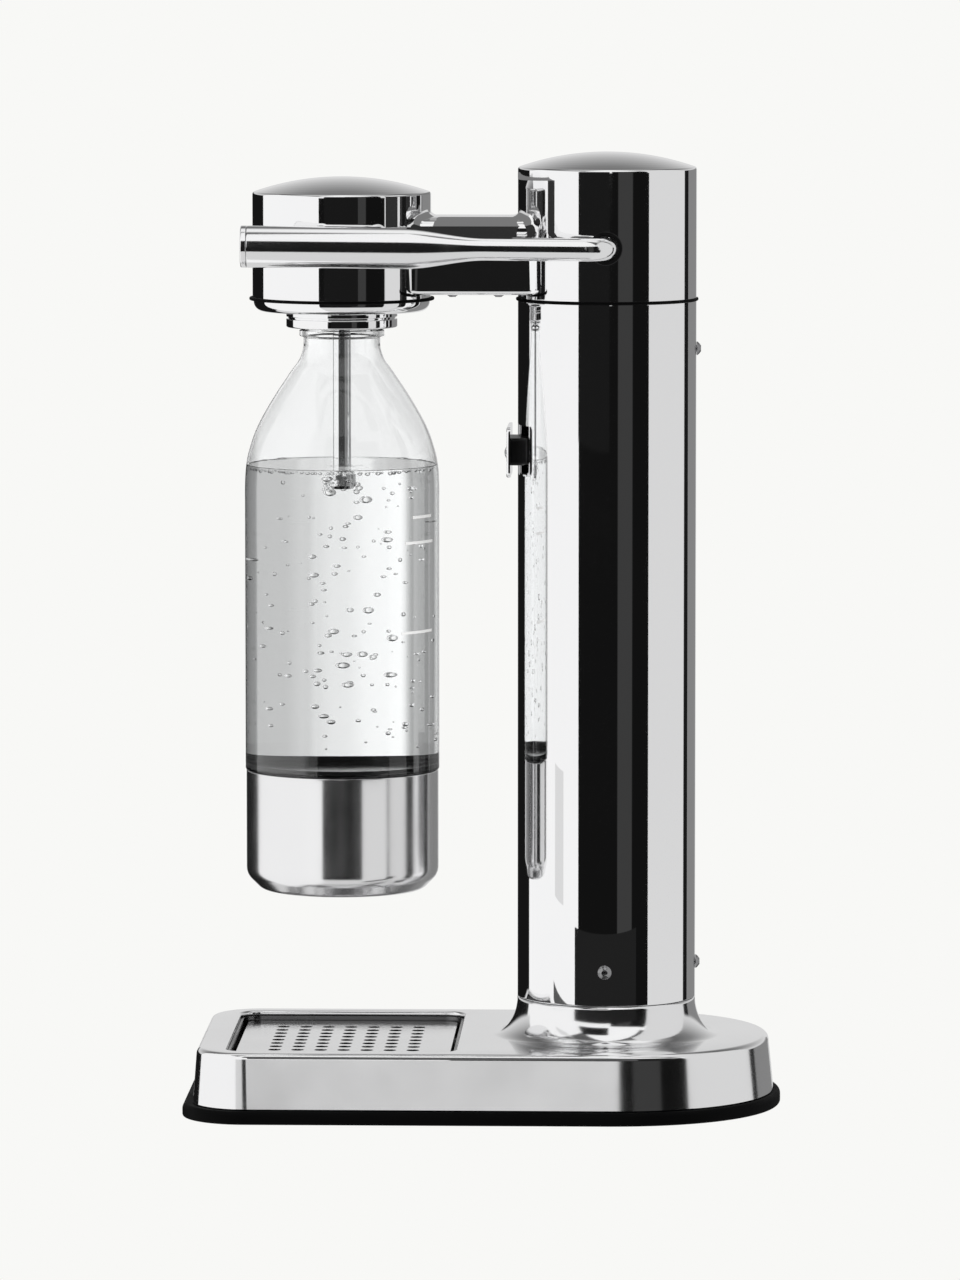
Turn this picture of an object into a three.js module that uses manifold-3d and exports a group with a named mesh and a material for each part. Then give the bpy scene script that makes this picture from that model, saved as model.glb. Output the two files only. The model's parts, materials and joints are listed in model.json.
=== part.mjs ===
// Manual soda carbonator: a steel column on a low base, an arm with a head over the bottle,
// a side lever that presses the gas valve, and a lift-out drip grille.
// Millimetres. +Z up, front towards -Y, lever on +X. Origin on the floor, centred under the base.
import * as THREE from 'three';
import { mergeVertices } from 'three/addons/utils/BufferGeometryUtils.js';
import Module from 'manifold-3d';

const wasm = await Module();
wasm.setup();

// ---------- driving dimensions ----------
const GAP = 0.3; // left between pieces that touch
const ROUND = 28; // segments of the large round pieces
const SMALL_ROUND = 16; // segments of the small round pieces

const COLUMN_Y = 53;
const HEAD_Y = -62;
const TUBE_RADIUS = 38.7;
const STEEL = 1.2; // sheet thickness

const FOOT = { halfWidth: 76.5, front: -129, rear: 129, corner: 27.6, height: 5.8, width: 14 };
const REAR_FULLNESS = 2.15; // exponent of the rear's plan curve; 2 is a plain ellipse
const SKIRT_INSET = 3;
const SKIRT_FRONT_INSET = 4.6;
const DECK_INSET = 5.4;
const DECK_FRONT_INSET = 6.4;
const DECK_Z = 30;
const DECK_EDGE = 4; // radius where the deck turns down into the skirt
const COLLAR = { top: 46.2, flare: 9.5 };

const TRAY = { halfWidth: 62, front: -110, rear: -10.5, corner: 9, floor: 16 };
const GRILLE = { top: 26, thickness: 1.5, holeRadius: 2.7, pitch: 10, columns: 7, rows: 9 };

const SEAM_Z = 349.5; // underside of both gaskets
const GASKET = 2;
const SHELL_Z = SEAM_Z + GASKET + GAP;
const COLUMN_TOP = { rim: 407.5, apex: 414 };
const HEAD_TOP = { rim: 396.6, apex: 403.1 };
const RIM_RADIUS = 2;

const ARM = { halfWidth: 22.5, top: 386.7, topCorner: 9, bottomCorner: 2, wall: 1.5 };

const LEVER = {
  z: 374, x: 50, rodRadius: 5, shaftRadius: 4, gripRadius: 9, bend: 9, end: -102.7, cap: 2.5,
};
const LEVER_TAPER = { start: 0, end: -31.5 };
const BUSH = { radius: 7.2, length: 5 };
const SHAFT_INNER_X = -24;
const CAM = { radius: 12.5, throw: 6.39, halfWidth: 5 };

const VALVE = { radius: 26, bottom: 330, top: 352 };
const PLUNGER = { top: LEVER.z - CAM.radius - GAP, headRadius: 8, head: 3, stemRadius: 3, end: 345 };
const SPRING = { radius: 5.5, wire: 0.45, turns: 3 };
const PIPE = { radius: 3, z: 363 };

const COLLAR_RING = { radius: 24.1, inner: 19.2, bottom: 338, top: 344.7, groove: 342 };
const LOWER_CAP = {
  bore: 12, edge: 4.5, outer: 38.2, bottom: 345, wall: 2, spigot: 36, spigotWall: 1.5, top: 356,
};
const NOZZLE_CARRIER = { neck: 11.7, radius: 18, ledge: 352.5, top: 372 };
const NOZZLE = { radius: 3.95, bore: 1.5, tipRadius: 4.5, tipTop: 274, bottom: 268, hole: 0.6 };
const RELIEF = { radius: 5, nut: 8, stem: 3, height: 14, offset: 9 };

const BOTTLE = { mouth: 342.4, neck: 16.6, ring: 18.4, body: 42.2, wall: 1.2, bandTop: 148.8 };
const CUP = { radius: 41.8, top: 145.4, bottom: 92.6, edge: 10 };

const CYLINDER = {
  radius: 30, wall: 2.5, bottom: 3, shoulder: 296, shoulderRise: 22, top: 321, neck: 12, neckBore: 9,
};
const SCREW = { head: 2.9, height: 1.9, shank: 1.5, hole: 1.85, socket: 1.2 };
const LOW_SCREW_Z = 61.5;
const HIGH_SCREW_Z = 329;
const BADGE = { halfWidth: 18, bottom: 273.8, top: 295.6, face: 43.1, rivet: 2.9 };

// ---------- finishes ----------
function finish(color, roughness, metalness) {
  return new THREE.MeshStandardMaterial({ color, roughness, metalness });
}
const polished = finish(0xe6e6e6, 0.08, 1);
const brass = finish(0xb5985a, 0.3, 1);
const zinc = finish(0xb9bcc0, 0.35, 1);
const aluminium = finish(0xa9adb2, 0.4, 1);
const rubber = finish(0x0c0c0d, 0.75, 0);
const blackPlastic = finish(0x161617, 0.5, 0);
const clearPlastic = new THREE.MeshStandardMaterial({
  color: 0xeef3f4, roughness: 0.05, metalness: 0, transparent: true, opacity: 0.3,
});

// ---------- geometry helpers ----------
function toSolid(geometry) {
  const bare = geometry.clone();
  bare.deleteAttribute('normal');
  bare.deleteAttribute('uv');
  const merged = mergeVertices(bare, 1e-4);
  const corners = merged.index.array;
  const triVerts = [];
  for (let i = 0; i < corners.length; i += 3) {
    const [a, b, c] = [corners[i], corners[i + 1], corners[i + 2]];
    if (a !== b && b !== c && a !== c) triVerts.push(a, b, c);
  }
  return new wasm.Manifold(new wasm.Mesh({
    numProp: 3,
    vertProperties: merged.attributes.position.array,
    triVerts: new Uint32Array(triVerts),
  }));
}

function toGeometry(solid) {
  const mesh = solid.getMesh();
  const geometry = new THREE.BufferGeometry();
  geometry.setAttribute('position', new THREE.BufferAttribute(new Float32Array(mesh.vertProperties), 3));
  geometry.setIndex(new THREE.BufferAttribute(new Uint32Array(mesh.triVerts), 1));
  return geometry;
}

// Turns a closed [radius, z] outline about a vertical axis at (0, y).
function turned(profile, y = 0, segments = ROUND) {
  const first = profile[0];
  const closed = first[0] === 0 ? profile : [...profile, first];
  const geometry = new THREE.LatheGeometry(closed.map(([r, z]) => new THREE.Vector2(r, z)), segments);
  geometry.rotateX(Math.PI / 2);
  geometry.translate(0, y, 0);
  return toSolid(geometry);
}

function ring(inner, outer, bottom, top, y = 0, segments = ROUND) {
  return turned([[inner, bottom], [outer, bottom], [outer, top], [inner, top]], y, segments);
}

function disc(radius, bottom, top, y = 0, segments = ROUND) {
  return turned([[0, bottom], [radius, bottom], [radius, top], [0, top]], y, segments);
}

// Points of a quarter turn or other arc, from one angle to another in degrees.
function arc(cx, cy, radius, from, to, steps) {
  const points = [];
  for (let i = 0; i <= steps; i++) {
    const angle = THREE.MathUtils.degToRad(from + ((to - from) * i) / steps);
    points.push([cx + radius * Math.cos(angle), cy + radius * Math.sin(angle)]);
  }
  return points;
}

function prism(points, bottom, top) {
  const shape = new THREE.Shape(points.map(([x, y]) => new THREE.Vector2(x, y)));
  const geometry = new THREE.ExtrudeGeometry(shape, { depth: top - bottom, bevelEnabled: false });
  geometry.translate(0, 0, bottom);
  return toSolid(geometry);
}

function roundedRect(halfWidth, front, rear, corner, steps = 5) {
  return [
    ...arc(halfWidth - corner, front + corner, corner, -90, 0, steps),
    ...arc(halfWidth - corner, rear - corner, corner, 0, 90, steps),
    ...arc(-halfWidth + corner, rear - corner, corner, 90, 180, steps),
    ...arc(-halfWidth + corner, front + corner, corner, 180, 270, steps),
  ];
}

// A closed solid through stacked outlines that all have the same number of points.
function loft(layers) {
  const count = layers[0].points.length;
  const positions = layers.flatMap(({ points, z }) => points.flatMap(([x, y]) => [x, y, z]));
  const faces = [];
  for (let k = 0; k < layers.length - 1; k++) {
    for (let i = 0; i < count; i++) {
      const [a, b] = [k * count + i, k * count + ((i + 1) % count)];
      faces.push(a, b, b + count, a, b + count, a + count);
    }
  }
  const outline = layers[0].points.map(([x, y]) => new THREE.Vector2(x, y));
  const lid = (layers.length - 1) * count;
  for (const [a, b, c] of THREE.ShapeUtils.triangulateShape(outline, [])) {
    faces.push(a, c, b, lid + a, lid + b, lid + c);
  }
  const geometry = new THREE.BufferGeometry();
  geometry.setAttribute('position', new THREE.Float32BufferAttribute(positions, 3));
  geometry.setIndex(faces);
  return toSolid(geometry);
}

// A round bar through path points, with a radius at each; its ends are flat.
function bar(path, radii, sides) {
  const rings = path.map((point, k) => {
    const ahead = path[Math.min(k + 1, path.length - 1)].clone().sub(point).normalize();
    const behind = point.clone().sub(path[Math.max(k - 1, 0)]).normalize();
    const along = ahead.add(behind).normalize();
    const up = new THREE.Vector3(0, 0, 1);
    const side = new THREE.Vector3().crossVectors(up, along);
    return Array.from({ length: sides }, (_, i) => {
      const angle = (2 * Math.PI * i) / sides;
      return point.clone()
        .addScaledVector(side, radii[k] * Math.cos(angle))
        .addScaledVector(up, -radii[k] * Math.sin(angle));
    });
  });
  const positions = rings.flat().flatMap((p) => [p.x, p.y, p.z]);
  const faces = [];
  for (let k = 0; k < rings.length - 1; k++) {
    for (let i = 0; i < sides; i++) {
      const [a, b] = [k * sides + i, k * sides + ((i + 1) % sides)];
      faces.push(a, b + sides, b, a, a + sides, b + sides);
    }
  }
  const last = (rings.length - 1) * sides;
  for (let i = 1; i < sides - 1; i++) {
    faces.push(0, i, i + 1, last, last + i + 1, last + i);
  }
  const geometry = new THREE.BufferGeometry();
  geometry.setAttribute('position', new THREE.Float32BufferAttribute(positions, 3));
  geometry.setIndex(faces);
  return toSolid(geometry);
}

// A round rod of one radius along a smooth curve.
function piped(points, radius, sides, steps) {
  const section = new THREE.Shape(arc(0, 0, radius, 0, 360 - 360 / sides, sides - 1)
    .map(([x, y]) => new THREE.Vector2(x, y)));
  const curve = new THREE.CatmullRomCurve3(points, false, 'centripetal');
  return toSolid(new THREE.ExtrudeGeometry(section, { steps, extrudePath: curve, bevelEnabled: false }));
}

const object = new THREE.Group();

function add(name, solid, material, position = [0, 0, 0], rotation = [0, 0, 0]) {
  const mesh = new THREE.Mesh(toGeometry(solid), material);
  mesh.name = name;
  mesh.position.set(...position);
  mesh.rotation.set(...rotation);
  object.add(mesh);
}

// ---------- base ----------
// The plan outline of the base, moved inwards: straight front with round corners, full round rear.
function footprint(inset, frontInset = inset) {
  const halfWidth = FOOT.halfWidth - inset;
  const front = FOOT.front + frontInset;
  const rearDepth = FOOT.rear - inset - COLUMN_Y;
  const corner = FOOT.corner - inset;
  const fuller = (share) => Math.sign(share) * Math.abs(share) ** (2 / REAR_FULLNESS);
  const rear = arc(0, 0, 1, 0, 180, 20)
    .map(([x, y]) => [fuller(x) * halfWidth, COLUMN_Y + fuller(y) * rearDepth]);
  return [
    ...arc(halfWidth - corner, front + corner, corner, -90, 0, 5),
    ...rear,
    ...arc(-halfWidth + corner, front + corner, corner, 180, 270, 5),
  ];
}

// Skirt and deck as a filled form from a height up; inward moves its surface in by a sheet's thickness.
function baseForm(inward, bottom) {
  const top = DECK_Z - inward;
  const deckAt = (further) => footprint(DECK_INSET + inward + further, DECK_FRONT_INSET + inward + further);
  return loft([
    { points: footprint(SKIRT_INSET + inward, SKIRT_FRONT_INSET + inward), z: bottom },
    { points: deckAt(-0.2), z: top - DECK_EDGE },
    { points: deckAt(DECK_EDGE * 0.3), z: top - DECK_EDGE * 0.3 },
    { points: deckAt(DECK_EDGE), z: top },
  ]);
}

// Collar that sweeps up from the deck to the column in a hollow curve.
function collarForm(inward, top) {
  const steps = 6;
  const height = COLLAR.top - DECK_Z;
  const curve = Array.from({ length: steps + 1 }, (_, i) => {
    const rise = i / steps;
    const spread = COLLAR.flare * (1 - Math.sin((rise * Math.PI) / 2)) ** 1.2;
    return [TUBE_RADIUS + spread - inward, DECK_Z + rise * height];
  });
  const [baseRadius] = curve[0];
  return turned([[0, DECK_Z - 6], [baseRadius, DECK_Z - 6], ...curve,
    [TUBE_RADIUS - inward, top], [0, top]], COLUMN_Y);
}

function trayOutline(inset) {
  return roundedRect(TRAY.halfWidth - inset, TRAY.front + inset, TRAY.rear - inset, TRAY.corner - inset);
}

const skirtBottom = FOOT.height + GAP;
const skin = baseForm(0, skirtBottom).add(collarForm(0, COLLAR.top));
const inside = baseForm(STEEL, skirtBottom - 3).add(collarForm(STEEL, COLLAR.top + 1));
const trayOpening = prism(trayOutline(0), DECK_Z - 5, DECK_Z + 5);
add('base_shell', skin.subtract(inside).subtract(trayOpening), polished);

const footRing = prism(footprint(0), 0, FOOT.height)
  .subtract(prism(footprint(FOOT.width), -1, FOOT.height + 1));
add('base_foot', footRing, rubber);

const POSTS = [[-56, 12], [56, 12], [-36, 98], [36, 98]];
const PLATE = { inset: 5.8, frontInset: 7.3, bottom: skirtBottom, top: skirtBottom + 2.5, bore: 33.5 };
let plate = prism(footprint(PLATE.inset, PLATE.frontInset), PLATE.bottom, PLATE.top)
  .subtract(disc(PLATE.bore, PLATE.bottom - 1, PLATE.top + 1, COLUMN_Y));
for (const [x, y] of POSTS) {
  plate = plate.subtract(disc(SCREW.hole, PLATE.bottom - 1, PLATE.top + 1, y, 12).translate(x, 0, 0));
}
add('base_plate', plate, blackPlastic);

// ---------- screws ----------
// Button head screw standing on z = 0 with its head above and its shank below.
function buttonScrew(shankLength) {
  const body = turned([[0, -shankLength], [SCREW.shank, -shankLength], [SCREW.shank, 0], [SCREW.head, 0],
    [SCREW.head, 0.5], [SCREW.head * 0.78, SCREW.height * 0.8], [SCREW.head * 0.45, SCREW.height],
    [0, SCREW.height]], 0, 10);
  const socket = toSolid(new THREE.CylinderGeometry(SCREW.socket, SCREW.socket, 2, 6).rotateX(Math.PI / 2));
  return body.subtract(socket.translate(0, 0, SCREW.height));
}

POSTS.forEach(([x, y], i) => {
  const post = disc(4, PLATE.top + GAP, DECK_Z - STEEL - GAP, y, 16)
    .subtract(disc(SCREW.hole, PLATE.top, DECK_Z - 6, y, 12));
  add(`base_post_${i + 1}`, post.translate(x, 0, 0), zinc);
  add(`base_screw_${i + 1}`, buttonScrew(12), zinc, [x, y, PLATE.bottom - GAP], [Math.PI, 0, 0]);
});

// ---------- drip tray ----------
const panWall = { clear: GAP, outer: 1.5, ledge: 3.5 };
const pan = prism(trayOutline(panWall.clear), TRAY.floor, DECK_Z - 1)
  .subtract(prism(trayOutline(panWall.outer), GRILLE.top - GRILLE.thickness - GAP, DECK_Z))
  .subtract(prism(trayOutline(panWall.ledge), TRAY.floor + STEEL, DECK_Z));
add('drip_pan', pan, polished);

const grilleBottom = GRILLE.top - GRILLE.thickness;
let holes = null;
for (let column = 0; column < GRILLE.columns; column++) {
  for (let row = 0; row < GRILLE.rows; row++) {
    const x = (row - (GRILLE.rows - 1) / 2) * GRILLE.pitch;
    const y = (TRAY.front + TRAY.rear) / 2 + (column - (GRILLE.columns - 1) / 2) * GRILLE.pitch;
    const hole = disc(GRILLE.holeRadius, grilleBottom - 1, GRILLE.top + 1, 0, 6).translate(x, y, 0);
    holes = holes ? holes.add(hole) : hole;
  }
}
add('drip_grille', prism(trayOutline(2), grilleBottom, GRILLE.top).subtract(holes), polished);

// ---------- column ----------
// A short drill along +X, turned to a heading about the vertical, at one height of the column.
function radialDrill(heading, z, radius) {
  const drill = new THREE.CylinderGeometry(radius, radius, 12, 12).rotateZ(Math.PI / 2);
  drill.translate(TUBE_RADIUS - 2, 0, 0).rotateZ(heading).translate(0, COLUMN_Y, z);
  return toSolid(drill);
}

const COLUMN_SCREWS = [
  { name: 'column_screw_right', heading: 0, z: LOW_SCREW_Z },
  { name: 'column_screw_left', heading: Math.PI, z: LOW_SCREW_Z },
  { name: 'column_screw_rear_low', heading: Math.PI / 2, z: LOW_SCREW_Z },
  { name: 'column_screw_rear_high', heading: Math.PI / 2, z: HIGH_SCREW_Z },
];

const CARRIER = {
  radius: TUBE_RADIUS - STEEL - GAP, spigot: 36, inner: 34, bottom: 322, ledge: 332, top: 356,
};
const SOCKET = { bore: 33.5, bottom: 32, top: 75 };
const GUIDE = { bore: 31, radius: 36 };
let tube = ring(TUBE_RADIUS - STEEL, TUBE_RADIUS, COLLAR.top + GAP, SEAM_Z - GAP, COLUMN_Y);
let socketRing = ring(SOCKET.bore, CARRIER.radius, SOCKET.bottom, SOCKET.top, COLUMN_Y, SMALL_ROUND);
let carrier = turned([[VALVE.radius + GAP, CARRIER.bottom], [CARRIER.radius, CARRIER.bottom],
  [CARRIER.radius, SEAM_Z - GAP], [CARRIER.spigot, SEAM_Z - GAP], [CARRIER.spigot, CARRIER.top],
  [CARRIER.inner, CARRIER.top], [CARRIER.inner, CARRIER.ledge], [VALVE.radius + GAP, CARRIER.ledge]],
  COLUMN_Y, SMALL_ROUND);
for (const { name, heading, z } of COLUMN_SCREWS) {
  const drill = radialDrill(heading, z, SCREW.hole);
  tube = tube.subtract(drill);
  socketRing = socketRing.subtract(drill);
  carrier = carrier.subtract(drill);
  const reach = TUBE_RADIUS + GAP;
  const place = [reach * Math.cos(heading), COLUMN_Y + reach * Math.sin(heading), z];
  const screw = toGeometry(buttonScrew(3.2)).rotateY(Math.PI / 2).rotateZ(heading);
  add(name, toSolid(screw), zinc, place);
}
add('column_tube', tube, polished);
add('column_socket', socketRing, zinc);
add('valve_carrier', carrier, zinc);
const guide = ring(GUIDE.bore, GUIDE.radius, PLATE.top + GAP, SOCKET.bottom - GAP, COLUMN_Y, SMALL_ROUND);
add('cylinder_guide', guide, blackPlastic);
const gasketBore = CARRIER.spigot + GAP;
add('column_gasket', ring(gasketBore, TUBE_RADIUS + 0.8, SEAM_Z, SEAM_Z + GASKET, COLUMN_Y), rubber);
add('head_gasket', ring(gasketBore, TUBE_RADIUS + 1.4, SEAM_Z, SEAM_Z + GASKET, HEAD_Y), rubber);

// Badge: a flat-faced block whose back follows the column.
const badgeBlock = prism([[-BADGE.halfWidth, COLUMN_Y - BADGE.face], [BADGE.halfWidth, COLUMN_Y - BADGE.face],
  [BADGE.halfWidth, COLUMN_Y - 20], [-BADGE.halfWidth, COLUMN_Y - 20]], BADGE.bottom, BADGE.top);
const columnEnvelope = disc(TUBE_RADIUS + GAP, BADGE.bottom - 1, BADGE.top + 1, COLUMN_Y);
const badgeFront = COLUMN_Y - BADGE.face;
add('front_badge', badgeBlock.subtract(columnEnvelope), polished);
for (const [side, sign] of [['left', -1], ['right', 1]]) {
  const rivet = turned([[0, 0], [BADGE.rivet, 0], [BADGE.rivet * 0.8, 0.6], [0, 0.9]], 0, 16);
  const place = [sign * (BADGE.halfWidth - 4), badgeFront - GAP, (BADGE.bottom + BADGE.top) / 2];
  add(`badge_rivet_${side}`, rivet, polished, place, [Math.PI / 2, 0, 0]);
}

// ---------- top shell: column top, arm and head ----------
// A capped round form whose rim rounds over into a shallow dome.
function domed(inward, { rim, apex }, bottom, y) {
  const radius = TUBE_RADIUS - inward;
  const corner = RIM_RADIUS;
  const rimArc = arc(radius - corner, rim - corner - inward, corner, 0, 70, 2);
  const [domeRadius, domeStart] = rimArc[rimArc.length - 1];
  const rise = apex - inward - domeStart;
  const dome = [0.67, 0.33, 0].map((t) => [t * domeRadius, domeStart + rise * (1 - t * t)]);
  return turned([[0, bottom], [radius, bottom], ...rimArc, ...dome], y);
}

function armForm(inward, bottom, front, rear) {
  const half = ARM.halfWidth - inward;
  const top = ARM.top - inward;
  const topCorner = ARM.topCorner - inward;
  const section = [[-half, bottom], [half, bottom],
    ...arc(half - topCorner, top - topCorner, topCorner, 0, 90, 4),
    ...arc(-half + topCorner, top - topCorner, topCorner, 90, 180, 4)];
  const geometry = new THREE.ExtrudeGeometry(
    new THREE.Shape(section.map(([x, z]) => new THREE.Vector2(x, z))),
    { depth: rear - front, bevelEnabled: false },
  );
  geometry.rotateX(Math.PI / 2);
  geometry.translate(0, rear, 0);
  return toSolid(geometry);
}

const ARM_OPENING = { halfWidth: 19, front: -21, rear: 13 };
const armSkin = armForm(0, SHELL_Z, HEAD_Y, COLUMN_Y);
const armHollow = armForm(ARM.wall, SHELL_Z + ARM.wall, HEAD_Y + 10, COLUMN_Y - 10);
const shaftDrill = toSolid(new THREE.CylinderGeometry(BUSH.radius + GAP, BUSH.radius + GAP, 20, SMALL_ROUND)
  .rotateZ(Math.PI / 2).translate(TUBE_RADIUS, COLUMN_Y, LEVER.z));
const armOpening = prism(roundedRect(ARM_OPENING.halfWidth, ARM_OPENING.front, ARM_OPENING.rear, 3, 3),
  SHELL_Z - 5, SHELL_Z + 5);
const topShell = domed(0, COLUMN_TOP, SHELL_Z, COLUMN_Y)
  .add(domed(0, HEAD_TOP, SHELL_Z, HEAD_Y))
  .add(armSkin)
  .subtract(domed(STEEL, COLUMN_TOP, SHELL_Z - 1, COLUMN_Y))
  .subtract(domed(STEEL, HEAD_TOP, SHELL_Z - 1, HEAD_Y))
  .subtract(armHollow)
  .subtract(armOpening)
  .subtract(shaftDrill);
add('top_shell', topShell, polished);

const ARM_SCREW_Y = [-14, 6];
const cover = { bottom: SHELL_Z, top: SHELL_Z + 1.5 };
const coverOutline = roundedRect(
  ARM_OPENING.halfWidth - GAP, ARM_OPENING.front + GAP, ARM_OPENING.rear - GAP, 2.7, 3,
);
let armCover = prism(coverOutline, cover.bottom, cover.top);
const braceOutline = roundedRect(14, ARM_SCREW_Y[0] - 5, ARM_SCREW_Y[1] + 5, 2, 2);
let armBrace = prism(braceOutline, cover.top + GAP, cover.top + 3);
['front', 'rear'].forEach((end, i) => {
  const drill = disc(SCREW.hole, SHELL_Z - 2, SHELL_Z + 10, ARM_SCREW_Y[i], 12);
  armCover = armCover.subtract(drill);
  armBrace = armBrace.subtract(drill);
  add(`arm_screw_${end}`, buttonScrew(6), zinc, [0, ARM_SCREW_Y[i], cover.bottom - GAP], [Math.PI, 0, 0]);
});
add('arm_cover', armCover, polished);
add('arm_brace', armBrace, zinc);

// ---------- lever ----------
// A short round bar lying across the machine, at the lever's height.
function acrossShaft(radius, x, halfWidth, y = COLUMN_Y, segments = SMALL_ROUND) {
  return toSolid(new THREE.CylinderGeometry(radius, radius, 2 * halfWidth, segments).rotateZ(Math.PI / 2)
    .translate(x, y, LEVER.z));
}
const bushing = acrossShaft(BUSH.radius, TUBE_RADIUS - 2, BUSH.length / 2);
const bushingBore = acrossShaft(LEVER.rodRadius + 0.4, TUBE_RADIUS, BUSH.length);
add('lever_bushing', bushing.subtract(bushingBore), blackPlastic);

// The rod runs out along the shaft axis, turns forward, and swells into the grip.
function leverPath() {
  const stations = [
    { x: SHAFT_INNER_X, y: COLUMN_Y, r: LEVER.shaftRadius },
    { x: 28, y: COLUMN_Y, r: LEVER.shaftRadius },
    { x: 29, y: COLUMN_Y, r: LEVER.rodRadius },
  ];
  for (const [x, y] of arc(LEVER.x - LEVER.bend, COLUMN_Y - LEVER.bend, LEVER.bend, 90, 0, 6)) {
    stations.push({ x, y, r: LEVER.rodRadius });
  }
  const swell = LEVER.gripRadius - LEVER.rodRadius;
  for (let i = 0; i <= 8; i++) {
    const t = i / 8;
    stations.push({
      x: LEVER.x,
      y: LEVER_TAPER.start + t * (LEVER_TAPER.end - LEVER_TAPER.start),
      r: LEVER.rodRadius + swell * (0.5 - 0.5 * Math.cos(Math.PI * t)),
    });
  }
  stations.push({ x: LEVER.x, y: LEVER.end + LEVER.cap + GAP, r: LEVER.gripRadius });
  return stations;
}
const stations = leverPath();
const leverCentres = stations.map(({ x, y }) => new THREE.Vector3(x, y, LEVER.z));
add('lever_rod', bar(leverCentres, stations.map(({ r }) => r), 14), polished);

const endCap = turned([[0, 0], [LEVER.gripRadius, 0], [LEVER.gripRadius, LEVER.cap - 0.5],
  [LEVER.gripRadius - 0.5, LEVER.cap], [0, LEVER.cap]], 0, SMALL_ROUND);
add('lever_end_cap', endCap, polished, [LEVER.x, LEVER.end + LEVER.cap, LEVER.z], [Math.PI / 2, 0, 0]);

const shaftBore = acrossShaft(LEVER.shaftRadius + GAP, 0, 40);
add('lever_cam', acrossShaft(CAM.radius, 0, CAM.halfWidth, COLUMN_Y - CAM.throw).subtract(shaftBore), zinc);
add('shaft_bearing', acrossShaft(8, -18, 4).subtract(shaftBore), blackPlastic);

// ---------- valve ----------
const NOSE = { radius: 10.4, bottom: 330, top: 343.5 };
const valveBody = turned([[NOSE.radius + GAP, VALVE.bottom], [VALVE.radius, VALVE.bottom],
  [VALVE.radius, VALVE.top], [PLUNGER.stemRadius + GAP, VALVE.top],
  [PLUNGER.stemRadius + GAP, NOSE.top + GAP], [NOSE.radius + GAP, NOSE.top + GAP]], COLUMN_Y,
  SMALL_ROUND);
add('valve_body', valveBody, brass);

const plungerHead = PLUNGER.top - PLUNGER.head;
const plunger = turned([
  [0, PLUNGER.end], [PLUNGER.stemRadius, PLUNGER.end], [PLUNGER.stemRadius, plungerHead],
  [PLUNGER.headRadius, plungerHead], [PLUNGER.headRadius, PLUNGER.top], [0, PLUNGER.top],
], COLUMN_Y, SMALL_ROUND);
add('valve_plunger', plunger, zinc);

const springLength = plungerHead - VALVE.top - 2 * (GAP + SPRING.wire);
const coil = [];
const perTurn = 10;
for (let i = 0; i <= SPRING.turns * perTurn; i++) {
  const angle = (2 * Math.PI * i) / perTurn;
  const climb = (springLength * i) / (SPRING.turns * perTurn);
  coil.push(new THREE.Vector3(SPRING.radius * Math.cos(angle), COLUMN_Y + SPRING.radius * Math.sin(angle),
    VALVE.top + GAP + SPRING.wire + climb));
}
add('plunger_spring', piped(coil, SPRING.wire, 5, SPRING.turns * perTurn), zinc);

// ---------- gas cylinder ----------
const { radius: gasRadius, wall: gasWall, bottom: gasBottom, shoulder, top: gasTop } = CYLINDER;
const gasShoulder = arc(0, 0, 1, 0, 66, 4)
  .map(([c, s]) => [gasRadius * c, shoulder + CYLINDER.shoulderRise * s]);
const gasHollow = arc(0, 0, 1, 66, 0, 3)
  .map(([c, s]) => [(gasRadius - gasWall) * c, shoulder + (CYLINDER.shoulderRise - gasWall) * s]);
const cylinderShell = turned([[0, gasBottom + 3], [18, gasBottom + 1.5], [22, gasBottom], [26, gasBottom],
  ...arc(gasRadius - 4, gasBottom + 5, 4, -60, 0, 2), ...gasShoulder, [CYLINDER.neck, gasTop],
  [CYLINDER.neckBore, gasTop], ...gasHollow, [gasRadius - gasWall, gasBottom + 8], [20, gasBottom + 5.5],
  [0, gasBottom + 6]], COLUMN_Y, 20);
add('cylinder_shell', cylinderShell, aluminium);

const cylinderValve = turned([[0, gasTop - 9], [CYLINDER.neckBore - GAP, gasTop - 9],
  [CYLINDER.neckBore - GAP, gasTop + GAP], [14, gasTop + GAP], [14, NOSE.bottom - GAP],
  [NOSE.radius, NOSE.bottom - GAP], [NOSE.radius, NOSE.top - 1], [NOSE.radius - 1, NOSE.top],
  [4, NOSE.top], [4, NOSE.top - 5], [0, NOSE.top - 5]], COLUMN_Y, SMALL_ROUND);
add('cylinder_valve', cylinderValve, brass);

// ---------- head ----------
const { neck: carrierNeck, radius: carrierRadius, ledge: carrierLedge, top: carrierTop } = NOZZLE_CARRIER;
const nozzleCarrier = turned([[NOZZLE.bore, LOWER_CAP.bottom + GAP], [carrierNeck, LOWER_CAP.bottom + GAP],
  [carrierNeck, carrierLedge], [carrierRadius, carrierLedge], [carrierRadius, carrierTop - 1],
  [carrierRadius - 1, carrierTop], [NOZZLE.bore, carrierTop]], HEAD_Y, SMALL_ROUND);
add('nozzle_carrier', nozzleCarrier, blackPlastic);

const reliefBottom = carrierTop + GAP;
const relief = turned([[0, reliefBottom], [RELIEF.radius, reliefBottom],
  [RELIEF.radius, reliefBottom + RELIEF.nut], [RELIEF.stem, reliefBottom + RELIEF.nut + 2],
  [RELIEF.stem, reliefBottom + RELIEF.height], [0, reliefBottom + RELIEF.height]],
HEAD_Y + RELIEF.offset, SMALL_ROUND);
add('relief_valve', relief, brass);

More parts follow.
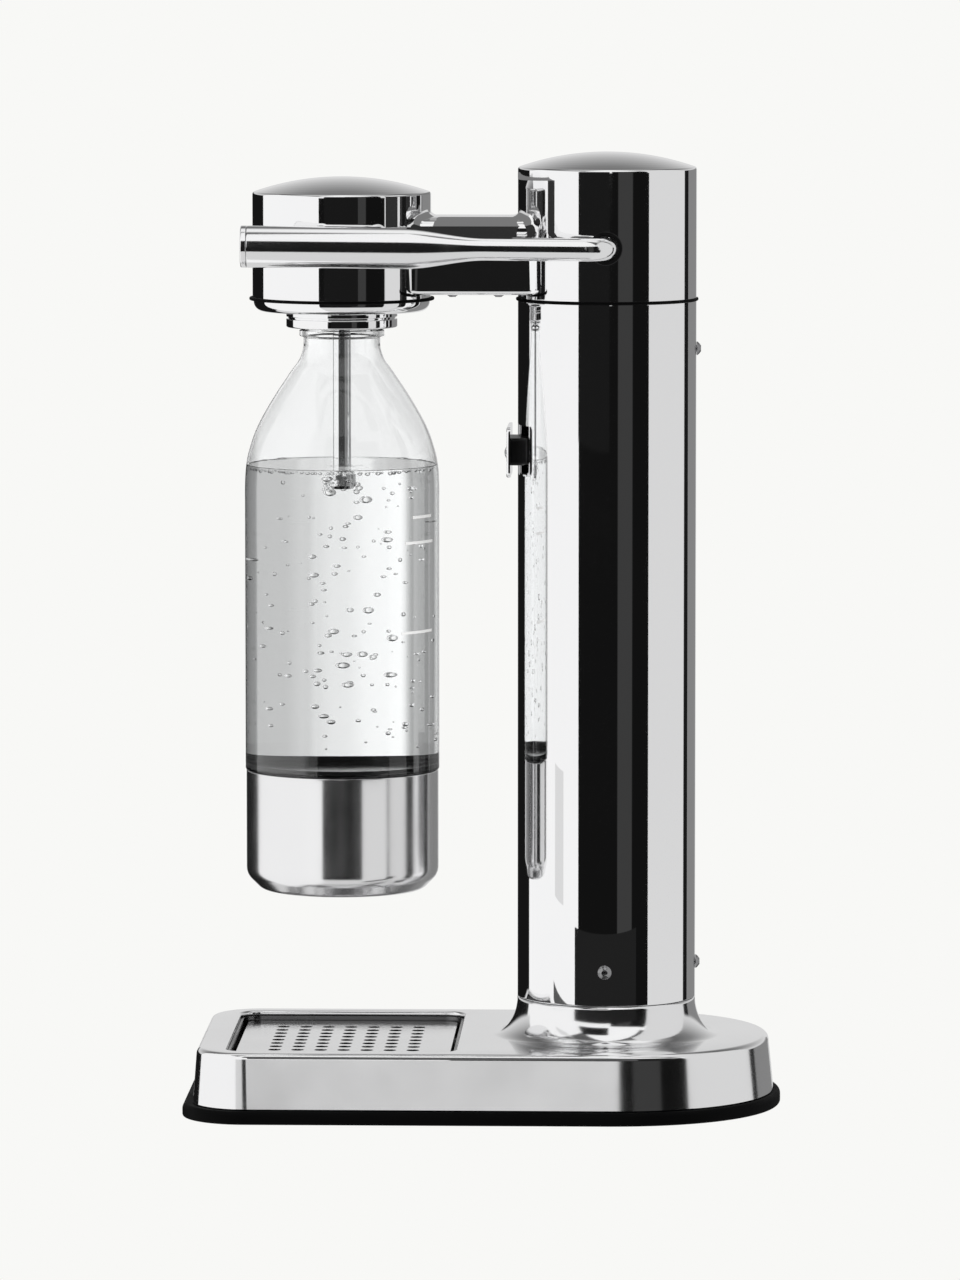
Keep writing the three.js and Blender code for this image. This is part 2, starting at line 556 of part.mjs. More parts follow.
const { bore: capBore, edge: capCorner, outer: capOuter, bottom: capBottom } = LOWER_CAP;
const { wall: capWall, spigot } = LOWER_CAP;
const capEdge = arc(capOuter - capCorner, capBottom + capCorner, capCorner, -90, 0, 4);
const spigotBore = spigot - LOWER_CAP.spigotWall;
const lowerCap = turned([[capBore, capBottom], ...capEdge.slice(0, -1), [capOuter, SEAM_Z - GAP],
  [spigot, SEAM_Z - GAP], [spigot, LOWER_CAP.top], [spigotBore, LOWER_CAP.top],
  [spigotBore, capBottom + capWall], [capBore, capBottom + capWall]], HEAD_Y);
add('head_lower_cap', lowerCap, polished);

const { radius: ringRadius, inner: ringInner, bottom: ringBottom, groove } = COLLAR_RING;
const collarRing = turned([
  [ringInner, ringBottom], [ringRadius - 0.6, ringBottom], [ringRadius, ringBottom + 0.6],
  [ringRadius, groove - 0.5], [ringRadius - 0.8, groove - 0.3], [ringRadius - 0.8, groove + 0.3],
  [ringRadius, groove + 0.5], [ringRadius, COLLAR_RING.top], [ringInner, COLLAR_RING.top],
], HEAD_Y);
add('bottle_collar', collarRing, polished);
add('bottle_seal', ring(6, 18.8, BOTTLE.mouth + GAP, COLLAR_RING.top, HEAD_Y, SMALL_ROUND), rubber);
const nozzleTube = ring(NOZZLE.bore, NOZZLE.radius, NOZZLE.tipTop + GAP, capBottom, HEAD_Y, SMALL_ROUND);
add('nozzle_tube', nozzleTube, polished);
const nozzleTip = turned([[NOZZLE.hole, NOZZLE.bottom], [NOZZLE.tipRadius - 1.1, NOZZLE.bottom],
  [NOZZLE.tipRadius, NOZZLE.bottom + 1.2], [NOZZLE.tipRadius, NOZZLE.tipTop], [NOZZLE.hole, NOZZLE.tipTop]],
HEAD_Y, SMALL_ROUND);
add('nozzle_tip', nozzleTip, polished);

const pipeStart = COLUMN_Y - VALVE.radius + 5;
const pipeEnd = HEAD_Y + carrierRadius + GAP + 0.2;
const pipePath = [[pipeStart, VALVE.top + GAP], [pipeStart, VALVE.top + 5], [pipeStart - 2, PIPE.z - 1.5],
  [pipeStart - 6, PIPE.z], [pipeStart - 14, PIPE.z], [pipeEnd + 20, PIPE.z], [pipeEnd, PIPE.z]];
add('gas_pipe', piped(pipePath.map(([y, z]) => new THREE.Vector3(0, y, z)), PIPE.radius, 8, 16), zinc);

// ---------- bottle ----------
// Outline of the bottle from the shoulder's foot to the mouth, moved inwards by the wall.
function bottleOutline(inward) {
  return [[BOTTLE.body, 270], [41.8, 278], [40.4, 285], [36.5, 295], [29.7, 307], [21.8, 319], [18.2, 325],
    [BOTTLE.neck, 330], [BOTTLE.neck, BOTTLE.mouth]].map(([r, z]) => [r - inward, z]);
}
const waist = CUP.radius - 1.5;
const bottleFloor = CUP.bottom + 3;
const collarBand = [[BOTTLE.neck, 333.8], [BOTTLE.ring, 334.4], [BOTTLE.ring, 336.6], [BOTTLE.neck, 337.2]];
const outerBottle = bottleOutline(0);
const bottleShell = turned([[0, bottleFloor + 4], [26, bottleFloor],
  ...arc(waist - 9, bottleFloor + 9, 9, -70, 0, 3),
  [waist, BOTTLE.bandTop + GAP], [BOTTLE.body, BOTTLE.bandTop + 2.5],
  ...outerBottle.slice(0, -1), ...collarBand, outerBottle[outerBottle.length - 1],
  ...bottleOutline(BOTTLE.wall * 2).slice(-2).reverse(), ...bottleOutline(BOTTLE.wall).slice(0, -2).reverse(),
  [BOTTLE.body - BOTTLE.wall, BOTTLE.bandTop + 3.5], [waist - BOTTLE.wall, BOTTLE.bandTop + 1],
  ...arc(waist - 9, bottleFloor + 9, 9 - BOTTLE.wall, 0, -70, 3), [26, bottleFloor + BOTTLE.wall],
  [0, bottleFloor + 4 + BOTTLE.wall]], HEAD_Y);
add('bottle_shell', bottleShell, clearPlastic);
add('bottle_band', ring(waist + GAP, CUP.radius, CUP.top + GAP, BOTTLE.bandTop, HEAD_Y), blackPlastic);

const cupEdge = arc(CUP.radius - CUP.edge, CUP.bottom + CUP.edge, CUP.edge, -80, 0, 4);
const cupInside = arc(CUP.radius - CUP.edge, CUP.bottom + CUP.edge, CUP.edge - 1, 0, -80, 4);
const cup = turned([[0, CUP.bottom + 2], [24, CUP.bottom + 1], ...cupEdge, [CUP.radius, CUP.top],
  [CUP.radius - 1, CUP.top], ...cupInside, [24, CUP.bottom + 2], [0, CUP.bottom + 3]], HEAD_Y);
add('bottle_cup', cup, polished);

export default object;
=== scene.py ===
"""Looks of a manual soda carbonator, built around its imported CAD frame.

Lengths are in millimetres until a mesh is made; the frame's own boxes give the places.
"""

import json
import math
import random

import bmesh
import bpy
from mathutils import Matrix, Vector


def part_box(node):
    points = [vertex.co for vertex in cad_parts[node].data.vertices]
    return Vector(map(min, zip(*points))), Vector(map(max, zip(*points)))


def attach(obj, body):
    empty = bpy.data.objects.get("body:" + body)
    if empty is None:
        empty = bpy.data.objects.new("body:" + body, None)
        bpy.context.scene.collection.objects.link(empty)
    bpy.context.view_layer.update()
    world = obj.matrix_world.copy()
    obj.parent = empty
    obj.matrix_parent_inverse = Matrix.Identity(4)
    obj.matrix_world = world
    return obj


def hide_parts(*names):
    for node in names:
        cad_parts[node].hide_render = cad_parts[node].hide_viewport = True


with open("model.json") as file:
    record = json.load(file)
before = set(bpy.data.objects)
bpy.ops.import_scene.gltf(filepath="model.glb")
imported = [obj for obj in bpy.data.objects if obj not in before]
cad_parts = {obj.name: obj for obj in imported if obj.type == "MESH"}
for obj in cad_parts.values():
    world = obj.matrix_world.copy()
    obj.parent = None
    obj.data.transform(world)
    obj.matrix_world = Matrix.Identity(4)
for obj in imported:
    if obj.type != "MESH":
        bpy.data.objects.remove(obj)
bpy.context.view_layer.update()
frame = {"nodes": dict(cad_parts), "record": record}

MM = 0.001
ROUND = 160  # segments of a large turned piece
SMALL_ROUND = 48


# ---------- places, read from the frame ----------
def span(node):
    """Lowest and highest corner of a CAD node, in millimetres."""
    low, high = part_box(node)
    return low / MM, high / MM


tube_low, tube_high = span("column_tube")
gasket_low, gasket_high = span("head_gasket")
top_low, top_high = span("top_shell")
foot_low, foot_high = span("base_foot")
collar_low, collar_high = span("bottle_collar")
cup_low, cup_high = span("bottle_cup")
bottle_low, bottle_high = span("bottle_shell")
nozzle_low, nozzle_high = span("nozzle_tube")
tip_low, tip_high = span("nozzle_tip")
cap_low = span("head_lower_cap")[0]
grille_top = span("drip_grille")[1].z
pan_bottom = span("drip_pan")[0].z
lever_low, lever_high = span("lever_rod")
lever_cap_low, lever_cap_high = span("lever_end_cap")
badge_low, badge_high = span("front_badge")

TUBE_RADIUS = (tube_high.x - tube_low.x) / 2
COLUMN_Y = (tube_low.y + tube_high.y) / 2
HEAD_Y = (gasket_low.y + gasket_high.y) / 2
# The black seams show as finer lines than the solid gaskets are thick.
SEAM_TOP = gasket_high.z - 0.4
SEAM_BOTTOM = gasket_low.z + 0.3
LEVER_Z = (lever_low.z + lever_high.z) / 2
LEVER_X = (lever_cap_low.x + lever_cap_high.x) / 2
GRIP_RADIUS = (lever_cap_high.x - lever_cap_low.x) / 2
LEVER_END = lever_cap_low.y
LEVER_RISE = 1.2  # how much higher the grip's end is than the shaft
DECK_Z = 30.0
DECK_EDGE = 2.8  # radius of the deck's outer edge
SEAT_Z = foot_high.z


# ---------- mesh helpers ----------
def finished(mesh, bm, material, sharp=None):
    """Turns a bmesh into a smooth-shaded object; edges bent by more than the sharp angle stay crisp."""
    bm.to_mesh(mesh)
    bm.free()
    mesh.shade_smooth()
    if sharp:
        mesh.set_sharp_from_angle(angle=math.radians(sharp))
    obj = bpy.data.objects.new(mesh.name, mesh)
    bpy.context.scene.collection.objects.link(obj)
    mesh.materials.append(material)
    return obj


def piece(name, verts, faces, material, body, nodes=(), sharp=35):
    """Makes a closed mesh from millimetre vertices, and ties it to its CAD body."""
    mesh = bpy.data.meshes.new(name)
    mesh.from_pydata([Vector(v) * MM for v in verts], [], faces)
    bm = bmesh.new()
    bm.from_mesh(mesh)
    bmesh.ops.remove_doubles(bm, verts=bm.verts, dist=1e-6)
    bmesh.ops.dissolve_degenerate(bm, edges=bm.edges, dist=1e-7)
    bmesh.ops.recalc_face_normals(bm, faces=bm.faces)
    obj = finished(mesh, bm, material, sharp)
    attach(obj, body)
    if nodes:
        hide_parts(*nodes)


def loops_to_faces(loop_count, size, closed=True):
    """Quads between stacked loops of one size; closed joins the last loop to the first."""
    faces = []
    last = loop_count if closed else loop_count - 1
    for k in range(last):
        a, b = k * size, ((k + 1) % loop_count) * size
        for i in range(size):
            j = (i + 1) % size
            faces.append((a + i, a + j, b + j, b + i))
    return faces


def capped_faces(loop_count, size):
    """Quads between stacked loops of one size, with a cap over the first loop and over the last."""
    first = tuple(range(size))
    last = tuple(range((loop_count - 1) * size, loop_count * size))
    return [*loops_to_faces(loop_count, size, closed=False), first, last]


def join_rings(bm, rings):
    """Quads between rings of bmesh vertices, each ring joined to the next."""
    for lower, upper in zip(rings, rings[1:]):
        for i in range(len(lower)):
            j = (i + 1) % len(lower)
            bm.faces.new((lower[i], lower[j], upper[j], upper[i]))


def fill_between(bm, rims):
    """Fills the flat area between closed rims of bmesh vertices."""
    edges = []
    for rim in rims:
        edges.extend(bm.edges.get((vert, rim[(i + 1) % len(rim)])) for i, vert in enumerate(rim))
    bmesh.ops.triangle_fill(bm, edges=edges, use_beauty=True)


def supported(points, closed=True, least=1.5):
    """Adds a point close to each end of every long stretch, so that shading stays true along it."""
    near = 0.3
    out = []
    count = len(points)
    for i, point in enumerate(points):
        out.append(point)
        if i == count - 1 and not closed:
            break
        other = points[(i + 1) % count]
        length = math.dist(point, other)
        if length > least:
            for share in (near / length, 1 - near / length):
                out.append(tuple(a + (b - a) * share for a, b in zip(point, other)))
    return out


def rounded(points, closed=True):
    """An outline whose corners (a, b, radius) become arcs; corners without a radius stay sharp."""
    out = []
    count = len(points)
    for i, corner in enumerate(points):
        here = Vector(corner[:2])
        radius = corner[2] if len(corner) > 2 else 0
        if radius <= 0 or (not closed and i in (0, count - 1)):
            out.append(tuple(here))
            continue
        before = (Vector(points[i - 1][:2]) - here).normalized()
        after = (Vector(points[(i + 1) % count][:2]) - here).normalized()
        half = before.angle(after) / 2
        reach = radius / math.tan(half)
        centre = here + (before + after).normalized() * (radius / math.sin(half))
        start = here + before * reach - centre
        turn = math.pi - 2 * half
        if start.cross(here + after * reach - centre) < 0:
            turn = -turn
        steps = max(4, math.ceil(abs(turn) / math.radians(9)))
        for k in range(steps + 1):
            angle = turn * k / steps
            cos, sin = math.cos(angle), math.sin(angle)
            out.append((centre.x + start.x * cos - start.y * sin, centre.y + start.x * sin + start.y * cos))
    return out


def rounded_rectangle(low, high, corner):
    """Rectangle between two opposite corners, with all four corners rounded."""
    (left, bottom), (right, top) = low, high
    corners = [(left, bottom), (right, bottom), (right, top), (left, top)]
    return rounded([(*place, corner) for place in corners])


def ring_section(inner, outer, bottom, top, low_corner, high_corner):
    """Section of a plain ring whose two outer corners are rounded."""
    return rounded([(inner, bottom), (outer, bottom, low_corner), (outer, top, high_corner), (inner, top)])


def turned(outline, y, segments):
    """Vertices and faces of a closed (radius, z) outline turned about the vertical at (0, y)."""
    size = len(outline)
    verts = []
    for i in range(segments):
        angle = 2 * math.pi * i / segments
        verts.extend((r * math.cos(angle), y + r * math.sin(angle), z) for r, z in outline)
    return verts, loops_to_faces(segments, size)


def turned_piece(name, outline, y, material, body, nodes=(), segments=ROUND):
    """A piece of revolution; the outline is closed, and may touch the axis."""
    verts, faces = turned(supported(outline), y, segments)
    piece(name, verts, faces, material, body, nodes)


def arc_points(cx, cy, radius, start, end, steps):
    """Points along an arc from one angle to another, in degrees."""
    angles = [math.radians(start + (end - start) * k / steps) for k in range(steps + 1)]
    return [(cx + radius * math.cos(a), cy + radius * math.sin(a)) for a in angles]


def smooth_curve(points, steps):
    """A Catmull-Rom curve through the points."""
    def between(a, b, c, d, t):
        linear = (c - a) * t
        square = (2 * a - 5 * b + 4 * c - d) * t * t
        cube = (3 * b - a - 3 * c + d) * t ** 3
        return 0.5 * (2 * b + linear + square + cube)

    out = []
    padded = [points[0], *points, points[-1]]
    for k in range(1, len(padded) - 2):
        for i in range(steps):
            out.append(tuple(between(*four, i / steps) for four in zip(*padded[k - 1:k + 3])))
    out.append(tuple(points[-1]))
    return out


# ---------- materials ----------
def new_material(name):
    material = bpy.data.materials.new(name)
    material.use_nodes = True
    nodes = material.node_tree.nodes
    links = material.node_tree.links
    return material, nodes, links, nodes["Principled BSDF"]


def noise_node(nodes, links, scale, detail):
    """A noise texture in object space."""
    coordinates = nodes.new("ShaderNodeTexCoord")
    texture = nodes.new("ShaderNodeTexNoise")
    texture.inputs["Scale"].default_value = scale
    texture.inputs["Detail"].default_value = detail
    links.new(coordinates.outputs["Object"], texture.inputs["Vector"])
    return texture.outputs["Fac"]


def ranged(nodes, links, value, low, high, start=0.3, end=0.7):
    """Spreads a value over a range."""
    node = nodes.new("ShaderNodeMapRange")
    node.inputs["From Min"].default_value = start
    node.inputs["From Max"].default_value = end
    node.inputs["To Min"].default_value = low
    node.inputs["To Max"].default_value = high
    links.new(value, node.inputs["Value"])
    return node.outputs["Result"]


def blended(nodes, links, value, dark, light):
    """A colour between two, chosen by a noise value."""
    node = nodes.new("ShaderNodeMix")
    node.data_type = "RGBA"
    node.inputs["A"].default_value = (*dark, 1)
    node.inputs["B"].default_value = (*light, 1)
    links.new(value, node.inputs["Factor"])
    return node.outputs["Result"]


def bumped(nodes, links, shader, value, strength, distance):
    """Gives a shader small bumps of a strength and of a height in millimetres."""
    node = nodes.new("ShaderNodeBump")
    node.inputs["Strength"].default_value = strength
    node.inputs["Distance"].default_value = distance * MM
    links.new(value, node.inputs["Height"])
    links.new(node.outputs["Normal"], shader.inputs["Normal"])


def metal(name, dark, light, smooth, rough, scratch=0.02):
    """Polished or satin metal: smudged roughness, faint colour drift and fine scratches."""
    material, nodes, links, shader = new_material(name)
    shader.inputs["Metallic"].default_value = 1.0
    smudge = noise_node(nodes, links, 28, 5)
    links.new(ranged(nodes, links, smudge, smooth, rough), shader.inputs["Roughness"])
    tone = noise_node(nodes, links, 9, 3)
    links.new(blended(nodes, links, tone, dark, light), shader.inputs["Base Color"])
    scratches = noise_node(nodes, links, 900, 3)
    bumped(nodes, links, shader, scratches, scratch, 0.05)
    return material


def metal_with_painted_hole_shade(name, dark, light, smooth, rough, wall):
    """Satin metal with painted shade: its upright faces, such as the walls of punched holes, take a
    near-black colour in place of the shade inside the holes.
    """
    material = metal(name, dark, light, smooth, rough)
    nodes, links = material.node_tree.nodes, material.node_tree.links
    shader = nodes["Principled BSDF"]
    face = shader.inputs["Base Color"].links[0].from_socket
    geometry = nodes.new("ShaderNodeNewGeometry")
    split = nodes.new("ShaderNodeSeparateXYZ")
    links.new(geometry.outputs["True Normal"], split.inputs[0])
    # Upright faces get the wall colour: painted shade in the holes.
    facing = ranged(nodes, links, split.outputs["Z"], 0, 1, 0.5, 0.8)
    mix = nodes.new("ShaderNodeMix")
    mix.data_type = "RGBA"
    links.new(facing, mix.inputs["Factor"])
    mix.inputs["A"].default_value = (*wall, 1)
    links.new(face, mix.inputs["B"])
    links.new(mix.outputs["Result"], shader.inputs["Base Color"])
    return material


def moulded(name, dark, light, smooth, rough, grain, strength, shine=0.5):
    """Rubber or plastic with a fine moulded grain and uneven sheen."""
    material, nodes, links, shader = new_material(name)
    shader.inputs["Specular IOR Level"].default_value = shine
    sheen = noise_node(nodes, links, 40, 4)
    links.new(ranged(nodes, links, sheen, smooth, rough), shader.inputs["Roughness"])
    tone = noise_node(nodes, links, 16, 3)
    links.new(blended(nodes, links, tone, dark, light), shader.inputs["Base Color"])
    bumped(nodes, links, shader, noise_node(nodes, links, grain, 4), strength, 0.1)
    return material


def clear(name, tint, ior, smooth, rough, ripple=0.0):
    """Clear plastic, water or an air bubble."""
    material, nodes, links, shader = new_material(name)
    shader.inputs["Base Color"].default_value = (*tint, 1)
    shader.inputs["Transmission Weight"].default_value = 1.0
    shader.inputs["IOR"].default_value = ior
    haze = noise_node(nodes, links, 30, 4)
    links.new(ranged(nodes, links, haze, smooth, rough), shader.inputs["Roughness"])
    if ripple:
        bumped(nodes, links, shader, noise_node(nodes, links, 45, 2), ripple, 0.3)
    return material


STEEL = metal("polished_steel", (0.91, 0.91, 0.915), (0.95, 0.95, 0.955), 0.02, 0.05, 0.012)
DECK_STEEL = metal("deck_steel", (0.88, 0.88, 0.885), (0.93, 0.93, 0.935), 0.08, 0.14, 0.02)
CUP_STEEL = metal("cup_steel", (0.84, 0.84, 0.845), (0.90, 0.90, 0.905), 0.16, 0.21, 0.02)
LEVER_STEEL = metal("lever_steel", (0.89, 0.89, 0.895), (0.93, 0.93, 0.935), 0.08, 0.13, 0.02)
# The grille's near-black wall colour is painted shade on the walls of its holes.
GRILLE_STEEL = metal_with_painted_hole_shade("grille_steel", (0.86, 0.86, 0.865), (0.91, 0.91, 0.915), 0.1, 0.16,
                       wall=(0.02, 0.02, 0.02))
# The pan's near-black steel colour is painted shade under the grille.
PAN_STEEL_PAINTED_SHADE = metal("pan_steel_painted_shade", (0.14, 0.14, 0.142), (0.20, 0.20, 0.202), 0.2, 0.35, 0.03)
SCREW_STEEL = metal("screw_steel", (0.26, 0.26, 0.265), (0.36, 0.36, 0.365), 0.15, 0.28, 0.05)
ZINC = metal("zinc_plate", (0.50, 0.51, 0.53), (0.64, 0.65, 0.67), 0.28, 0.42, 0.1)
BRASS = metal("turned_brass", (0.60, 0.48, 0.24), (0.74, 0.61, 0.34), 0.2, 0.35, 0.08)
ALUMINIUM = metal("cylinder_aluminium", (0.55, 0.56, 0.58), (0.66, 0.67, 0.69), 0.3, 0.42, 0.08)
RUBBER = moulded("black_rubber", (0.0008, 0.0008, 0.0009), (0.002, 0.002, 0.0021), 0.5, 0.7,
                 grain=700, strength=0.1, shine=0.04)
BLACK_PLASTIC = moulded("black_plastic", (0.002, 0.002, 0.0021), (0.005, 0.005, 0.0052), 0.3, 0.45,
                        grain=900, strength=0.05, shine=0.2)
BAND_PLASTIC = moulded("band_plastic", (0.018, 0.018, 0.019), (0.035, 0.035, 0.036), 0.1, 0.2, 500, 0.02)
MARK = moulded("level_mark_white", (0.86, 0.86, 0.86), (0.93, 0.93, 0.93), 0.3, 0.5, 500, 0.05)
PET = clear("bottle_pet", (0.985, 0.99, 0.99), 1.5, 0.0, 0.03, 0.02)
WATER = clear("water", (0.99, 0.995, 0.995), 1.33, 0.0, 0.01)
BUBBLE = clear("bubble", (1.0, 1.0, 1.0), 0.76, 0.0, 0.01)

BY_SLOT = {
    "polished_steel": STEEL,
    "black_rubber": RUBBER,
    "black_plastic": BLACK_PLASTIC,
    "zinc_steel": ZINC,
    "brass": BRASS,
    "cylinder_aluminium": ALUMINIUM,
    "clear_bottle": PET,
}


def dress_cad_nodes():
    """Gives every CAD node the material of its slot."""
    for row in frame["record"]["subparts"]:
        mesh = frame["nodes"][row["node"]].data
        mesh.materials.clear()
        mesh.materials.append(BY_SLOT[row["material_slot"]])


# ---------- base ----------
FOOT_HALF_WIDTH = foot_high.x
FOOT_FRONT = foot_low.y
FOOT_REAR = foot_high.y
FOOT_CORNER = 27.6
SKIRT_INSET = 3.0
SKIRT_FRONT_INSET = 4.6
DECK_INSET = 5.4
DECK_FRONT_INSET = 6.4
REAR_FULLNESS = 2.15  # exponent of the rear's plan curve; 2 is a plain ellipse
SHEET = 1.2


def fuller(share):
    """Share of an ellipse's axis, moved out towards the corner."""
    return math.copysign(abs(share) ** (2 / REAR_FULLNESS), share)


def footprint(inset, front_inset=None):
    """The base's plan outline moved inwards: straight front, round corners, full round rear."""
    front_inset = inset if front_inset is None else front_inset
    half_width = FOOT_HALF_WIDTH - inset
    front = FOOT_FRONT + front_inset
    rear_depth = FOOT_REAR - inset - COLUMN_Y
    corner = max(2, FOOT_CORNER - inset)
    right = arc_points(half_width - corner, front + corner, corner, -90, 0, 18)
    left = arc_points(-half_width + corner, front + corner, corner, 180, 270, 18)
    half_circle = arc_points(0, 0, 1, 0, 180, 90)
    rear = [(fuller(x) * half_width, COLUMN_Y + fuller(y) * rear_depth) for x, y in half_circle]
    return supported([*right, *rear, *left], least=6)


def build_foot():
    """Rubber ring under the skirt, with rounded lips."""
    outline = rounded([(0, 0.0, 1.2), (0, SEAT_Z, 2.2), (6, SEAT_Z, 1), (14, SEAT_Z, 1), (14, 0.0, 1)])
    section = supported(outline, least=2)
    verts = [(x, y, z) for inset, z in section for x, y in footprint(inset)]
    faces = loops_to_faces(len(section), len(verts) // len(section))
    piece("rubber_foot", verts, faces, RUBBER, "root", ["base_foot"])


TRAY_LOW = Vector((-62.0, -110.0))
TRAY_HIGH = Vector((62.0, -10.5))
TRAY_CORNER = 9.0
TRAY_ROLL = 1.3  # radius of the deck's rolled edge round the tray
GRILLE_INSET = 3.2
COLLAR_FLARE = 11.0
COLLAR_TOP = span("base_shell")[1].z
PAN_RIM = DECK_Z - 2.1


def tray_outline(inset):
    """Rounded rectangle of the tray opening, moved inwards."""
    corner = max(1.5, TRAY_CORNER - inset)
    low = TRAY_LOW + Vector((inset, inset))
    high = TRAY_HIGH - Vector((inset, inset))
    return supported(rounded_rectangle(low, high, corner), least=6)


def skirt_loops():
    """Sloping skirt and the deck's rounded outer edge, as loops from the seat up to the deck."""
    side = rounded([(SKIRT_INSET, SEAT_Z + 0.3), (DECK_INSET, DECK_Z, DECK_EDGE), (DECK_INSET + 4, DECK_Z)],
                   closed=False)
    extra_low, extra_high = SKIRT_FRONT_INSET - SKIRT_INSET, DECK_FRONT_INSET - DECK_INSET
    loops = []
    for inset, z in supported(side, closed=False)[:-1]:
        rise = min(1, (z - SEAT_Z) / (DECK_Z - SEAT_Z))
        front = inset + extra_low + (extra_high - extra_low) * rise
        loops.append([(x, y, z) for x, y in footprint(inset, front)])
    return loops


def tray_loops():
    """The deck's edge rolled down into the tray opening, as loops from the deck down."""
    roll = rounded([(-3.0, DECK_Z), (0.2, DECK_Z, TRAY_ROLL), (0.3, DECK_Z - 1.8)], closed=False)
    roll = supported(roll, closed=False)[1:]
    return [[(x, y, z) for x, y in tray_outline(inset)] for inset, z in roll]


def collar_loops():
    """Collar that flares down from the column to the deck in a quarter ellipse, as loops from the deck up."""
    flare = []
    for degrees in range(0, 91, 5):
        t = math.radians(degrees)
        radius = TUBE_RADIUS + COLLAR_FLARE * (1 - math.cos(t))
        flare.append((radius, COLLAR_TOP - (COLLAR_TOP - DECK_Z) * math.sin(t)))
    flare.append((flare[-1][0] + 0.5, DECK_Z))
    angles = [2 * math.pi * i / ROUND for i in range(ROUND)]
    return [[(r * math.cos(a), COLUMN_Y + r * math.sin(a), z) for a in angles] for r, z in reversed(flare)]


def build_base_shell():
    """Pressed steel skirt, deck, rolled tray edge and flared collar, as one sheet."""
    bm = bmesh.new()
    rims = []
    for loops, rim in ((skirt_loops(), -1), (tray_loops(), 0), (collar_loops(), 0)):
        rings = [[bm.verts.new(Vector(p) * MM) for p in loop] for loop in loops]
        join_rings(bm, rings)
        rims.append(rings[rim])
    fill_between(bm, rims)
    bmesh.ops.recalc_face_normals(bm, faces=bm.faces)
    top = max(bm.faces, key=lambda f: f.calc_area())
    if top.normal.z < 0:
        bmesh.ops.reverse_faces(bm, faces=bm.faces)
    obj = finished(bpy.data.meshes.new("base_sheet"), bm, DECK_STEEL, 35)
    solidify = obj.modifiers.new("sheet", "SOLIDIFY")
    solidify.thickness = SHEET * MM
    solidify.offset = -1
    solidify.use_even_offset = True
    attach(obj, "root")
    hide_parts("base_shell")


def spans(face, loop, size):
    """True if a face joins this loop to the next."""
    rows = {index // size for index in face}
    return rows == {loop, loop + 1}


def build_pan():
    """Pressed pan under the grille, with a flat floor inside and out."""
    gap = 0.3
    lining = gap + SHEET
    floor_inset = 30
    floor_top = pan_bottom + SHEET
    outer = rounded([(gap, PAN_RIM), (gap, pan_bottom, 3), (floor_inset, pan_bottom)], closed=False)
    inner = rounded([(floor_inset, floor_top), (lining, floor_top, 2), (lining, PAN_RIM)], closed=False)
    floor = len(outer) - 1
    section = [*outer, *inner]
    verts = [(x, y, z) for inset, z in section for x, y in tray_outline(inset)]
    size = len(verts) // len(section)
    faces = [f for f in loops_to_faces(len(section), size) if not spans(f, floor, size)]
    faces.append(tuple(range(floor * size, (floor + 1) * size)))
    faces.append(tuple(range((floor + 1) * size, (floor + 2) * size)))
    piece("tray_pan", verts, faces, PAN_STEEL_PAINTED_SHADE, "root", ["drip_pan"])


def build_grille():
    """Perforated plate, with a softened edge round the plate and every hole."""
    columns, rows, pitch, radius = 7, 9, 10.0, 2.7
    thickness, edge = 0.8, 0.15
    centre = (TRAY_LOW + TRAY_HIGH) / 2
    bottom, top = grille_top - thickness, grille_top
    bm = bmesh.new()

    def wall(outline):
        """Side wall of an outline; gives its bottom and top rims. outline(shift) returns its points."""
        levels = [(edge, bottom), (0, bottom + edge), (0, top - edge), (edge, top)]
        rings = [[bm.verts.new(Vector((x, y, z)) * MM) for x, y in outline(shift)] for shift, z in levels]
        join_rings(bm, rings)
        return rings[0], rings[-1]

    rims = [wall(lambda shift: tray_outline(GRILLE_INSET + shift))]
    for column in range(columns):
        for row in range(rows):
            x = centre.x + (row - (rows - 1) / 2) * pitch
            y = centre.y + (column - (columns - 1) / 2) * pitch
            rims.append(wall(lambda shift, x=x, y=y: arc_points(x, y, radius + shift, 0, 345, 23)))
    for side in zip(*rims):
        fill_between(bm, side)
    bmesh.ops.recalc_face_normals(bm, faces=bm.faces)
    obj = finished(bpy.data.meshes.new("grille_plate"), bm, GRILLE_STEEL, 30)
    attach(obj, "grille")
    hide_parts("drip_grille")


# ---------- column, head and arm ----------
ARM_BOTTOM = top_low.z + 1.2
ARM_TOP = 386.7
HEAD_DROP = 10.9  # how much lower the head's dome is than the column's
DOME_RISE = 6.5
COLLAR_GROOVE_Z = 342.2


def build_column_tube():
    outline = ring_section(TUBE_RADIUS - SHEET, TUBE_RADIUS, COLLAR_TOP + 0.35, SEAM_BOTTOM, 0.3, 0.2)
    turned_piece("column_skin", outline, COLUMN_Y, STEEL, "root", ["column_tube"])


def build_gaskets():
    """Black rings between the column and its top, and between the head and its dish."""
    bore = 36.3
    places = (("column_seal_ring", "column_gasket", COLUMN_Y), ("head_seal_ring", "head_gasket", HEAD_Y))
    for name, node, y in places:
        low, high = span(node)
        outline = ring_section(bore, (high.x - low.x) / 2, SEAM_BOTTOM, SEAM_TOP, 0.5, 0.5)
        turned_piece(name, outline, y, RUBBER, "root", [node])


